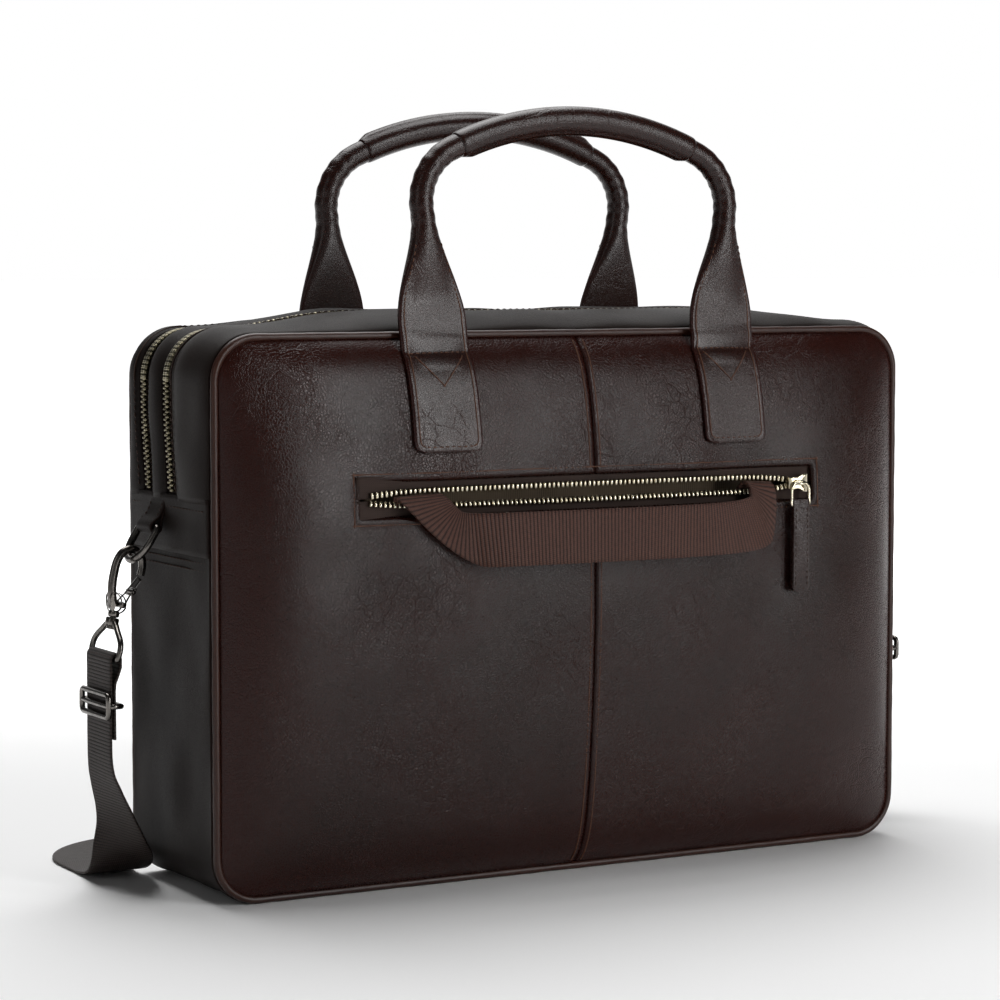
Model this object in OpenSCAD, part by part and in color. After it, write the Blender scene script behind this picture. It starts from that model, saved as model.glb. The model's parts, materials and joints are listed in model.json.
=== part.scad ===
// Soft leather laptop briefcase with a trolley strap, two hand handles and a clip-on shoulder strap.
// Origin: middle of the underside. +Z up, +X across the width, the back (trolley strap) faces -Y.

/* [Body] */
// Width of the body over the piping
body_w = 410; // [360:1:480]
// Depth of the body between the two piped edges, without the swell of the panels
body_d = 102; // [84:1:130]
// Height of the body
body_h = 282; // [270:1:340]
// Corner radius of the body outline
corner_r = 24; // [16:1:34]
// Swell of the back panel beyond its piped edge
back_crown = 24; // [16:1:32]
// Swell of the front panel beyond its piped edge
front_crown = 18; // [10:1:28]
// Distance from the edge over which a panel swells
dome_reach = 110; // [80:1:130]
// Thickness of a leather panel with its lining
leather_t = 2.4; // [1.6:0.1:3.2]
// Thickness of the stiffened gusset
gusset_t = 3; // [2:0.1:4]
// Diameter of the leather piping
piping_d = 3.6; // [2.4:0.1:5]

/* [Zips] */
// Height at which the two main zips end on the sides
zip_end_z = 200; // [190:1:214]
// Height of the seam under the strap anchors
anchor_z = 173; // [160:1:184]
// Y of the rear main zip
rear_zip_y = -3; // [-8:0.5:2]
// Y of the front main zip
front_zip_y = 26; // [22:0.5:30]
// Width of the zip tape that shows
zip_tape_w = 12; // [10:0.5:14]
// Thickness of zip tape
zip_tape_t = 1.2; // [0.8:0.1:1.6]
// Width of a closed chain of teeth
teeth_w = 5.6; // [4:0.2:6]
// Height of the teeth above the tape
teeth_t = 2; // [1.4:0.1:2.4]
// Length of a zip slider
slider_l = 11.6; // [9:0.2:13]

/* [Back pocket] */
// Length of the pocket window
window_w = 266; // [220:1:290]
// Height of the middle of the pocket window
window_z = 199.5; // [180:0.5:210]
// Height of the pocket window
window_h = 17; // [15:0.5:20]
// Gap between the parted rows of teeth
mouth_gap = 5.5; // [5:0.1:7]
// Depth of the pocket pouch below its window
pouch_h = 132; // [90:1:150]

/* [Front pocket] */
// Height of the middle of the front pocket zip
front_pocket_z = 158; // [140:1:170]

/* [Handles] */
// Distance of a handle's foot from the middle
handle_x = 86; // [70:1:110]
// Radius of the handle roll
roll_r = 6.1; // [5:0.1:8]
// Thickness of the grip wrap
wrap_t = 0.9; // [0.6:0.1:2]
// Width of a handle tab
tab_w = 38; // [30:1:44]
// Length of a handle tab below the top edge
tab_l = 60; // [45:1:70]

/* [Trolley strap] */
// Width of the trolley webbing
trolley_w = 27; // [20:1:34]
// Thickness of the trolley webbing
trolley_t = 1.6; // [1.2:0.1:2.2]
// Clear gap between the back panel and the middle of the trolley strap
trolley_gap = 14; // [12:0.5:20]
// Height of the lower edge of the trolley strap
trolley_z = 165; // [155:1:168]

/* [Shoulder strap] */
// Width of the shoulder webbing
strap_w = 31; // [25:1:38]
// Thickness of the shoulder webbing
strap_t = 1.6; // [1.2:0.1:2.2]
// Wire diameter of the D-rings
ring_d = 3.8; // [3:0.1:4.4]
// Width of the leather loop that holds a D-ring
chape_w = 18; // [16:1:24]
// Wire diameter of the snap hooks
hook_d = 4.2; // [3.4:0.1:4.6]

/* [Hidden] */

// gaps
seam_gap = 0.3;
body_gap = 0.4;
fit_gap = 0.06;
big = 1000;
fine = 64;
hull_fn = 32;

// levels of the body's layers
edge_y = body_d / 2;
pipe_r = piping_d / 2;
pipe_y = edge_y - 0.7;
gusset_y = pipe_y - pipe_r - 0.1;
face_y = pipe_y + pipe_r + 0.1;
panel_inset = 2;
zip_half = zip_tape_w / 2;
tape_inset = 1;
flap_axis_y = face_y + front_crown + body_gap;
teeth_start_z = zip_end_z + slider_l + 2.4;
left_teeth_z = zip_end_z + 3;
middle_y = (rear_zip_y + front_zip_y) / 2;
divider_t = 3;
lining_inset = gusset_t + 1.8;
board_t = 3;
pad_t = 4;

dome_steps = [0, 2.5, 7, 14, 24, 38, 56, 80, 108];

// Rise of a swollen panel at distance s from its edge: a cubic that flattens out at dome_reach.
function dome_rise(s, crown) = crown * (1 - pow(1 - min(s, dome_reach) / dome_reach, 3));

leather = [0.20, 0.10, 0.07];
gusset_brown = [0.13, 0.10, 0.08];
webbing = [0.27, 0.15, 0.11];
nickel = [0.80, 0.76, 0.66];
antique = [0.45, 0.42, 0.34];
gunmetal = [0.40, 0.38, 0.36];
tape_brown = [0.16, 0.12, 0.09];
lining_cloth = [0.35, 0.29, 0.22];

// Rounded rectangle about the origin, from two bars and four discs.
module rounded(w, h, r, fn = fine) {
  square([w - 2 * r, h], center = true);
  square([w, h - 2 * r], center = true);
  for (x = [-1, 1], y = [-1, 1])
    translate([x * (w / 2 - r), y * (h / 2 - r)]) circle(r, $fn = fn);
}

// Prism with the body's outline, drawn in by inset, from y0 to y1.
module outline(inset, y0, y1, fn = fine)
  translate([0, y1, body_h / 2]) rotate([90, 0, 0]) linear_extrude(y1 - y0)
    rounded(body_w - 2 * inset, body_h - 2 * inset, max(corner_r - inset, 3), fn);

// Closed band with the body's outline, thickness t, from y0 to y1.
module band(inset, t, y0, y1)
  difference() {
    outline(inset, y0, y1);
    outline(inset + t, y0 - 1, y1 + 1);
  }

// Half-spaces that cut the bands into their parts.
module above(z) translate([-big, -big, z]) cube([2 * big, 2 * big, big]);
module between(z0, z1) translate([-big, -big, z0]) cube([2 * big, 2 * big, z1 - z0]);
module left_of(x) translate([x - big, -big, -big]) cube([big, 2 * big, 2 * big]);
module right_of(x) translate([x, -big, -big]) cube([big, 2 * big, 2 * big]);

// Swollen solid of a panel: the hull of the outline drawn in step by step and lifted by dome_rise.
module dome(side, crown, shrink)
  hull()
    for (s = dome_steps) {
      y = side * (face_y + dome_rise(s, crown) - shrink);
      outline(panel_inset + s + max(shrink, 0), y - 0.01, y + 0.01, hull_fn);
    }

// Leather shell of a swollen panel.
module panel(side, crown)
  intersection() {
    difference() {
      dome(side, crown, 0);
      dome(side, crown, leather_t);
    }
    if (side < 0) translate([-big, -face_y - big, -big]) cube([2 * big, big, 2 * big]);
    else translate([-big, face_y, -big]) cube([2 * big, big, 2 * big]);
  }

// Piping: a round cord along the outline at one panel's edge.
module piping(side) {
  r = corner_r - pipe_r;
  w = body_w / 2 - corner_r;
  h = body_h / 2 - corner_r;
  translate([0, side * pipe_y, body_h / 2]) rotate([90, 0, 0]) {
    for (q = [[w, h, 0], [-w, h, 90], [-w, -h, 180], [w, -h, 270]])
      translate([q[0], q[1], 0]) rotate([0, 0, q[2]])
        rotate_extrude(angle = 90, $fn = fine) translate([r, 0]) circle(pipe_r, $fn = fine);
    for (s = [-1, 1]) {
      translate([-w, s * (h + r), 0]) rotate([0, 90, 0]) cylinder(r = pipe_r, h = 2 * w, $fn = fine);
      translate([s * (w + r), -h, 0]) rotate([-90, 0, 0]) cylinder(r = pipe_r, h = 2 * h, $fn = fine);
    }
  }
}

// ---------------------------------------------------------------- back panel and body

module pocket_window(side, z)
  translate([-window_w / 2, min(side * face_y, side * (face_y + 60)), z - window_h / 2])
    cube([window_w, 60, window_h]);

module back_panel_half(s)
  color(leather) intersection() {
    difference() {
      panel(-1, back_crown);
      pocket_window(-1, window_z);
    }
    if (s < 0) left_of(-seam_gap / 2);
    else right_of(seam_gap / 2);
  }
module back_panel_left() back_panel_half(-1);
module back_panel_right() back_panel_half(1);

module back_piping() color(leather) piping(-1);

module bottom_gusset()
  color(gusset_brown) intersection() {
    band(0, gusset_t, -gusset_y, gusset_y);
    between(-1, anchor_z - seam_gap / 2);
  }

module anchor_panel(s)
  color(gusset_brown) intersection() {
    band(0, gusset_t, -gusset_y, gusset_y);
    between(anchor_z + seam_gap / 2, zip_end_z - seam_gap / 2);
    if (s < 0) left_of(0);
    else right_of(0);
  }
module left_anchor_panel() anchor_panel(-1);
module right_anchor_panel() anchor_panel(1);

// Upper arch of the gusset between two Y levels.
module arch(inset, t, y0, y1)
  intersection() {
    band(inset, t, y0, y1);
    above(zip_end_z + seam_gap / 2);
  }

module rear_band() color(gusset_brown) arch(0, gusset_t, -gusset_y, rear_zip_y - zip_half);

// Half of a zip tape: side -1 is the half at lower Y.
module tape_half(zip_y, side)
  color(tape_brown)
    if (side < 0) arch(tape_inset, zip_tape_t, zip_y - zip_half, zip_y - body_gap / 2);
    else arch(tape_inset, zip_tape_t, zip_y + body_gap / 2, zip_y + zip_half);

// Half of a chain of teeth. It starts above the slider on the right, and near the zip's end on the left.
module teeth_half(zip_y, side) {
  y0 = side < 0 ? zip_y - teeth_w / 2 : zip_y + body_gap / 2;
  color(antique) intersection() {
    band(tape_inset - teeth_t, teeth_t, y0, y0 + teeth_w / 2 - body_gap / 2);
    union() {
      intersection() {
        above(teeth_start_z);
        right_of(0);
      }
      intersection() {
        above(left_teeth_z);
        left_of(0);
      }
    }
  }
}
module rear_zip_tape_outer() tape_half(rear_zip_y, -1);
module rear_zip_teeth_outer() teeth_half(rear_zip_y, -1);

module base_board()
  color(lining_cloth) intersection() {
    outline(gusset_t + 0.1, -gusset_y + 2, gusset_y - 2);
    between(gusset_t + 0.2, gusset_t + 0.2 + board_t);
  }

module inner_wall(y0, y1, z0, z1)
  color(lining_cloth) intersection() {
    outline(lining_inset, y0, y1);
    between(z0, z1);
  }
wall_z0 = gusset_t + board_t + 0.6;
module padded_back_wall() inner_wall(-gusset_y + 1, -gusset_y + 1 + pad_t, wall_z0, body_h);
module divider_lower()
  inner_wall(middle_y - divider_t / 2, middle_y + divider_t / 2, wall_z0, zip_end_z - body_gap);

// ---------------------------------------------------------------- back pocket

row_lo_z = window_z - mouth_gap / 2;
row_hi_z = window_z + mouth_gap / 2;
row_h = teeth_w / 2;
window_depth = dome_rise(body_h - window_z - panel_inset, back_crown);
row_y = -face_y - window_depth + leather_t + 0.6;

module back_pocket_tapes()
  color(tape_brown) {
    lo = window_z - window_h / 2;
    hi = window_z + window_h / 2;
    translate([-window_w / 2, row_y - 0.6 + teeth_t, lo]) cube([window_w, zip_tape_t, row_lo_z - lo]);
    translate([-window_w / 2, row_y - 0.6 + teeth_t, row_hi_z]) cube([window_w, zip_tape_t, hi - row_hi_z]);
  }

module back_pocket_teeth()
  color(nickel)
    for (z = [row_lo_z - row_h, row_hi_z])
      translate([-window_w / 2 + 4, row_y - 0.6, z]) cube([window_w - 8, teeth_t, row_h]);

pouch_w = window_w - 10;
pouch_t = 0.8;
pouch_back_y = -face_y - 1.5;
pouch_front_y = row_y + 3;
pouch_z0 = window_z - window_h / 2 - pouch_h;
pouch_z1 = window_z + window_h / 2 + 6;
seam = 0.05;

// Flat piece of pouch cloth between two corners, held off its neighbours by the sewn seam.
module cloth_sheet(low, high)
  translate([for (k = [0:2]) low[k] + seam]) cube([for (k = [0:2]) high[k] - low[k] - 2 * seam]);

// Pouch sewn from flat pieces: a back, a floor, a top, two sides, and a front cut round the mouth.
module back_pocket_pouch()
  color(lining_cloth) {
    w = pouch_w / 2;
    mouth_z0 = window_z - window_h / 2;
    mouth_z1 = window_z + window_h / 2;
    front_y = pouch_front_y + pouch_t;
    back_y = pouch_back_y - pouch_t;
    cloth_sheet([-w, back_y, pouch_z0], [w, pouch_back_y, pouch_z1]);
    cloth_sheet([-w, pouch_front_y, pouch_z0 + pouch_t], [w, front_y, mouth_z0]);
    cloth_sheet([-w, pouch_front_y, mouth_z1], [w, front_y, pouch_z1 - pouch_t]);
    for (z = [pouch_z0, pouch_z1 - pouch_t]) cloth_sheet([-w, pouch_front_y, z], [w, back_y, z + pouch_t]);
    for (x = [-w, w - pouch_t])
      cloth_sheet([x, front_y, pouch_z0 + pouch_t], [x + pouch_t, back_y, pouch_z1 - pouch_t]);
  }

// ---------------------------------------------------------------- zip sliders and pulls

slider_w = teeth_w + 3.8;
slider_top = teeth_t + 2.4;
skirt_x = tape_inset + body_gap;
teeth_play = 1;
bail_r = 0.8;
bail_x = slider_top + 1.5;
bail_w = 3;
bail_l = 6.4;
bail_wall = 1.7;
pull_arm = 1;

// Slider on a zip that runs along Z and faces +X, with the tape's outer face at x = 0.
// Its two skirts straddle the teeth, clear of the band beside them.
module slider_solid() {
  channel = teeth_w + teeth_play;
  color(nickel) {
    difference() {
      translate([skirt_x, -slider_w / 2, -slider_l / 2]) cube([slider_top - skirt_x, slider_w, slider_l]);
      translate([0, -channel / 2, -slider_l]) cube([teeth_t + teeth_play / 2, channel, 2 * slider_l]);
    }
    difference() {
      translate([slider_top - 0.1, -bail_w / 2, -bail_l / 2])
        cube([bail_x + bail_wall - slider_top, bail_w, bail_l]);
      translate([bail_x, 0, 0]) rotate([90, 0, 0])
        cylinder(r = bail_r + fit_gap, h = 10, center = true, $fn = 32);
    }
  }
}

// Slider on a zip that runs along Y and faces +X. Its rows of teeth may be parted by split on each side
// of the middle, and its pull's pin, along Y too, stands pin_x above the tape.
module slider_across(split, pin_x) {
  width = slider_w + 2 * split;
  channel = teeth_w + 2 * split + teeth_play;
  color(nickel) {
    difference() {
      translate([skirt_x, -slider_l / 2, -width / 2]) cube([slider_top - skirt_x, slider_l, width]);
      translate([0, -slider_l, -channel / 2]) cube([teeth_t + teeth_play / 2, 2 * slider_l, channel]);
    }
    difference() {
      translate([slider_top - 0.1, -bail_w / 2, -bail_l / 2])
        cube([pin_x + bail_wall - slider_top, bail_w, bail_l]);
      translate([pin_x, 0, 0]) rotate([90, 0, 0])
        cylinder(r = bail_r + fit_gap, h = 10, center = true, $fn = 32);
    }
  }
}

// Metal stirrup that turns in the slider's bail, then a tab of length l and width w hanging from it.
module pull_solid(l, w, t = 1.6)
  color(leather) {
    translate([bail_x, 0, 0]) rotate([90, 0, 0]) cylinder(r = bail_r, h = 6, center = true, $fn = 32);
    for (s = [-1, 1])
      translate([bail_x - bail_r, s * 2.5 - pull_arm / 2, -6.5]) cube([2 * bail_r, pull_arm, 6.5]);
    translate([bail_x - t / 2, -w / 2, -l]) cube([t, w, l - 5.2]);
  }

module on_side(zip_y) translate([body_w / 2 - tape_inset, zip_y, zip_end_z + 0.8 + slider_l / 2]) children();
module rear_main_slider() on_side(rear_zip_y) slider_solid();
module rear_main_pull() on_side(rear_zip_y) pull_solid(17.5, 6);
module front_main_slider() on_side(front_zip_y) slider_solid();
module front_main_pull() on_side(front_zip_y) pull_solid(17.5, 6);

// The parted back pocket zip: the slider straddles both rows near the right end of the window.
back_slider_x = window_w / 2 - 4 - slider_l / 2;
back_slider_y = row_y - 0.6 + teeth_t;
back_split = mouth_gap / 2;
loop_r = 5.5;
loop_wire = bail_r;
loop_top = slider_top + 2.6;

module at_back_slider() translate([back_slider_x, back_slider_y, window_z]) rotate([0, 0, -90]) children();
module back_pocket_slider() at_back_slider() slider_across(back_split, loop_top);

// Wire loop: a bar through the bail, two arms and a half circle below, all of round wire.
module back_pocket_wire_loop()
  at_back_slider() translate([loop_top, 0, 0]) color(nickel) {
    rotate([90, 0, 0]) cylinder(r = loop_wire, h = 2 * loop_r, center = true, $fn = 24);
    for (s = [-1, 1]) {
      translate([0, s * loop_r, 0]) sphere(loop_wire, $fn = 24);
      translate([0, s * loop_r, -6]) cylinder(r = loop_wire, h = 6, $fn = 24);
    }
    translate([0, 0, -6]) rotate([90, 0, 90]) rotate([0, 0, 180])
      rotate_extrude(angle = 180, $fn = fine) translate([loop_r, 0]) circle(loop_wire, $fn = 24);
  }

pull_w = 10.5;
pull_l = 44;
pull_t = 3.2;
module back_pocket_pull()
  at_back_slider() translate([loop_top, 0, -6 - loop_r]) color(leather)
    difference() {
      union() {
        translate([-pull_t / 2, -pull_w / 2, -pull_l + pull_w / 2 + 3])
          cube([pull_t, pull_w, pull_l - pull_w / 2]);
        translate([0, 0, -pull_l + pull_w / 2 + 3]) rotate([0, 90, 0])
          cylinder(r = pull_w / 2, h = pull_t, center = true, $fn = fine);
      }
      translate([0, 0, loop_r]) rotate([90, 0, 90])
        rotate_extrude($fn = fine) translate([loop_r, 0]) circle(loop_wire + fit_gap, $fn = 24);
    }

// ---------------------------------------------------------------- front pocket

// The zip lies level with the panel at the window's ends, where the swell is lowest.
front_lip = 2;
zip_seat = 0.265;
window_end_s = min(front_pocket_z, (body_w - window_w) / 2) - panel_inset;
front_row_y = face_y + dome_rise(window_end_s, front_crown) - leather_t + zip_seat;
module front_pocket_zip() {
  color(tape_brown)
    translate([-window_w / 2, front_row_y - zip_tape_t, front_pocket_z - window_h / 2 + front_lip])
      cube([window_w, zip_tape_t, window_h - 2 * front_lip]);
  color(antique)
    translate([-window_w / 2 + 4, front_row_y, front_pocket_z - teeth_w / 2])
      cube([window_w - 8, teeth_t, teeth_w]);
}
module at_front_slider()
  translate([window_w / 2 - 5 - slider_l / 2, front_row_y, front_pocket_z]) rotate([0, 0, 90]) children();
module front_pocket_slider() at_front_slider() slider_across(0, bail_x);
module front_pocket_pull() at_front_slider() pull_solid(46, 10, 2.6);

// ---------------------------------------------------------------- trolley strap

strap_out_y = -face_y - back_crown - trolley_gap - trolley_t;
strap_near_y = -face_y - back_crown - 1.4;
run_x0 = -72;
run_x1 = 104;
bow_steps = 14;

// Depth of the strap along its run: close to the panel at both folds, bowed out between them.
function bow_y(u) = strap_near_y + (strap_out_y - strap_near_y) * min(1, 1.25 * pow(sin(180 * u), 0.55));
function run_x(u) = run_x0 + (run_x1 - run_x0) * u;
bow = [for (i = [0:bow_steps]) let (u = i / bow_steps) [run_x(u), bow_y(u)]];

module trolley_strap()
  color(webbing) {
    translate([0, 0, trolley_z]) linear_extrude(trolley_w)
      polygon(concat(
        [for (p = bow) [p[0], p[1] - trolley_t / 2]],
        [for (i = [bow_steps:-1:0]) [bow[i][0], bow[i][1] + trolley_t / 2]]));
    // the folded ends, flat against the panel, that climb to the pocket's mouth
    translate([0, strap_near_y + trolley_t / 2, 0]) rotate([90, 0, 0]) linear_extrude(trolley_t)
      polygon([[run_x0, trolley_z], [run_x0, trolley_z + trolley_w], [run_x0 - 20, window_z + 0.9],
        [run_x0 - 45, window_z + 0.9], [run_x0 - 45, window_z - 0.9]]);
    translate([0, strap_near_y + trolley_t / 2, 0]) rotate([90, 0, 0]) linear_extrude(trolley_t)
      polygon([[run_x1, trolley_z + 3], [run_x1 + 3, trolley_z + 6], [run_x1 + 3, window_z + 0.9],
        [run_x1 - 22, window_z + 0.9], [run_x1 - 22, trolley_z + trolley_w - 2],
        [run_x1, trolley_z + trolley_w - 2]]);
    // the tails, in through the mouth and down inside the pouch
    for (x = [run_x0 - 45, run_x1 - 22]) {
      depth = -strap_near_y + pouch_front_y + 4;
      translate([x, strap_near_y - trolley_t / 2, window_z - 0.9]) cube([25, depth, 1.8]);
      translate([x, strap_near_y - trolley_t / 2 + depth - trolley_t, window_z - 16])
        cube([25, trolley_t, 16]);
    }
  }

// ---------------------------------------------------------------- handles

hinge_z = body_h + 2;
hinge_y = face_y + 4.5;
foot_h = 48;
lean = 2.8;
leg_tilt = 4;
leg_l = 16;
bend_r = 30;
bend_a = 65;
foot_t = 2.4;

leg_top_x = handle_x + sin(leg_tilt) * (foot_h + leg_l);
leg_top_z = cos(leg_tilt) * (foot_h + leg_l);
bend_cx = leg_top_x - bend_r * cos(leg_tilt);
bend_cz = leg_top_z + bend_r * sin(leg_tilt) * -1;
grip_x = bend_cx + bend_r * cos(bend_a);
grip_z = bend_cz + bend_r * sin(bend_a);
grip_r = grip_x / cos(bend_a);
grip_cz = grip_z - grip_r * sin(bend_a);
wrap_a = 90 - bend_a - 1;

ring_sides = 20;

// Arc of round tube in the XZ plane, from angle a0 to a1.
module tube_arc(cx, cz, r, a0, a1, outer, inner = 0)
  translate([cx, 0, cz]) rotate([90, 0, 0]) rotate([0, 0, a0])
    rotate_extrude(angle = a1 - a0, $fn = 96) translate([r, 0]) difference() {
      circle(outer, $fn = 96);
      if (inner > 0) circle(inner, $fn = 96);
    }

// A leg swells from a flat foot, tab_w wide, to the round roll over foot_h.
function ease(l) = let (m = min(1, l / foot_h)) m * m * (3 - 2 * m);
function foot_a(l) = (tab_w / 2 - 1) * (1 - ease(l)) + roll_r * ease(l);
function foot_b(l) = foot_t * (1 - ease(l)) + roll_r * ease(l);

// Stations of half a handle: x, z, angle of the section, half width, half thickness.
half_roll = concat(
  [for (l = [0.8, for (k = [1:6]) foot_h * k / 6, foot_h + leg_l / 2])
    [handle_x + sin(leg_tilt) * l, cos(leg_tilt) * l, -leg_tilt, foot_a(l), foot_b(l)]],
  [for (k = [0:6]) let (a = -leg_tilt + (bend_a + leg_tilt) * k / 6)
    [bend_cx + bend_r * cos(a), bend_cz + bend_r * sin(a), a, roll_r, roll_r]],
  [for (k = [1:8]) let (a = bend_a + (90 - bend_a) * k / 8)
    [grip_r * cos(a), grip_cz + grip_r * sin(a), a, roll_r, roll_r]]);
roll_path = concat(half_roll, [for (i = [len(half_roll) - 2:-1:0]) let (p = half_roll[i])
  [-p[0], p[1], 180 - p[2], p[3], p[4]]]);
roll_rings = len(roll_path);
function roll_point(p, q) =
  [p[0] + p[3] * cos(q) * cos(p[2]), p[4] * sin(q), p[1] + p[3] * cos(q) * sin(p[2])];

// Handle from its two feet at z = 0 up to the grip, swept as one solid.
module handle_roll()
  color(leather) polyhedron(
    points = [for (p = roll_path, k = [0:ring_sides - 1]) roll_point(p, 360 * k / ring_sides)],
    faces = concat([[for (k = [ring_sides - 1:-1:0]) k]],
      [for (i = [0:roll_rings - 2], k = [0:ring_sides - 1]) let (j = (k + 1) % ring_sides)
        [ring_sides * i + k, ring_sides * i + j, ring_sides * (i + 1) + j, ring_sides * (i + 1) + k]],
      [[for (k = [0:ring_sides - 1]) ring_sides * (roll_rings - 1) + k]]));
module grip_wrap()
  color(leather) tube_arc(0, grip_cz, grip_r, 90 - wrap_a, 90 + wrap_a, roll_r + wrap_t, roll_r + 0.1);

module at_handle(side) translate([0, side * hinge_y, hinge_z]) rotate([side * lean, 0, 0]) children();
module back_handle() at_handle(-1) handle_roll();
module back_handle_wrap() at_handle(-1) grip_wrap();
module front_handle() at_handle(1) handle_roll();
module front_handle_wrap() at_handle(1) grip_wrap();

// Two leather tabs lying on a swollen panel, each under one foot of the handle.
module handle_tabs(side, crown)
  color(leather) intersection() {
    difference() {
      dome(side, crown, -2.2);
      dome(side, crown, -0.05);
    }
    union() for (s = [-1, 1])
      translate([s * handle_x, side * (face_y + 30), body_h - panel_inset - 1 - tab_l / 2])
        rotate([90, 0, 0]) linear_extrude(58, center = true) rounded(tab_w, tab_l, 5);
  }
module back_handle_tabs() handle_tabs(-1, back_crown);
module front_handle_tabs() handle_tabs(1, front_crown);

// ---------------------------------------------------------------- opening sections

module middle_band() color(gusset_brown) arch(0, gusset_t, rear_zip_y + zip_half, front_zip_y - zip_half);
module rear_zip_tape_inner() tape_half(rear_zip_y, 1);
module rear_zip_teeth_inner() teeth_half(rear_zip_y, 1);
module front_zip_tape_inner() tape_half(front_zip_y, -1);
module front_zip_teeth_inner() teeth_half(front_zip_y, -1);
module divider_upper()
  color(lining_cloth) intersection() {
    outline(gusset_t + 0.1, middle_y - divider_t / 2, middle_y + divider_t / 2);
    between(zip_end_z + body_gap, body_h);
  }

module front_band() color(gusset_brown) arch(0, gusset_t, front_zip_y + zip_half, gusset_y);
module front_zip_tape_outer() tape_half(front_zip_y, 1);
module front_zip_teeth_outer() teeth_half(front_zip_y, 1);
module front_panel_upper()
  color(leather) intersection() {
    panel(1, front_crown);
    above(zip_end_z + body_gap / 2);
  }
module front_piping_upper()
  color(leather) intersection() {
    piping(1);
    above(zip_end_z + body_gap / 2);
  }
module front_panel_lower()
  color(leather) difference() {
    intersection() {
      panel(1, front_crown);
      between(-1, zip_end_z - body_gap / 2);
    }
    translate([-window_w / 2, face_y, front_pocket_z - window_h / 2 + front_lip]) cube([window_w, 60, window_h - 2 * front_lip]);
  }
module front_piping_lower()
  color(leather) intersection() {
    piping(1);
    between(-1, zip_end_z - body_gap / 2);
  }

// ---------------------------------------------------------------- strap hardware

ring_r = ring_d / 2;
bar_x = body_w / 2 + 6;
bar_z = anchor_z + 11;
loop_out = ring_r + fit_gap + 1.6;
ring_half = chape_w / 2 + ring_r + body_gap;
ring_drop = 8;
ring_tilt = 32;
chain_y = middle_y;

module side_of(s) mirror([s < 0 ? 1 : 0, 0, 0]) children();

// Leather loop: a wedge of folded leather on the side with a round eye for the ring's bar.
module chape(s)
  side_of(s) color(gusset_brown) difference() {
    union() {
      translate([0, chain_y + chape_w / 2, 0]) rotate([90, 0, 0]) linear_extrude(chape_w)
        polygon([[body_w / 2, zip_end_z - 3], [body_w / 2 + 2.6, zip_end_z - 3],
          [bar_x + loop_out * 0.7, bar_z + loop_out * 0.4], [bar_x - loop_out * 0.9, bar_z],
          [body_w / 2, bar_z + 2]]);
      translate([bar_x, chain_y, bar_z]) rotate([90, 0, 0])
        cylinder(r = loop_out, h = chape_w, center = true, $fn = 96);
    }
    translate([bar_x, chain_y, bar_z]) rotate([90, 0, 0])
      cylinder(r = ring_r + fit_gap, h = 2 * chape_w, center = true, $fn = 32);
  }
module left_chape() chape(-1);
module right_chape() chape(1);

module d_ring(s)
  side_of(s) translate([bar_x, chain_y, bar_z]) rotate([0, -ring_tilt, 0]) color(gunmetal) {
    rotate([90, 0, 0]) cylinder(r = ring_r, h = 2 * ring_half, center = true, $fn = 96);
    for (t = [-1, 1]) {
      translate([0, t * ring_half, 0]) sphere(ring_r, $fn = 96);
      translate([0, t * ring_half, -ring_drop]) cylinder(r = ring_r, h = ring_drop, $fn = 96);
    }
    translate([0, 0, -ring_drop]) rotate([90, 0, 90]) rotate([0, 0, 180])
      rotate_extrude(angle = 180, $fn = 96) translate([ring_half, 0]) circle(ring_r, $fn = 96);
  }
module left_d_ring() d_ring(-1);
module right_d_ring() d_ring(1);

// The hook's own frame: its swivel shank stands at the origin, the gate side faces -X towards the bag.
hook_r = hook_d / 2;
hook_tilt = 14;
jaw_r = 7.1;
jaw_x = -2.6;
jaw_z = 26;
seat_gap = 1;
seat_z = jaw_z + jaw_r - hook_r - ring_r - seat_gap;
ring_reach = ring_drop + ring_half;
wire_x = bar_x + sin(ring_tilt) * ring_reach;
wire_z = bar_z - cos(ring_tilt) * ring_reach;
hook_x = wire_x - cos(hook_tilt) * jaw_x + sin(hook_tilt) * seat_z;
hook_z = wire_z + sin(hook_tilt) * jaw_x * -1 - cos(hook_tilt) * seat_z;
gate_z = 5;
gate_r = 2.4;
block_x = -0.6;
block_r = 4.4;
nose_l = 5;
gate_x = -2.2;
pin_r = 1.1;
tongue_t = 2.6;
fork_t = 7;
shank_r = 1.4;
eye_l = 22;
eye_r = 1.5;
eye_half = strap_w / 2 + eye_r + 0.8;
eye_neck = 2.4;
eye_shoulder = 15;

module at_hook(s) side_of(s) translate([hook_x, chain_y, hook_z]) rotate([0, -hook_tilt, 0]) children();

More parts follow.
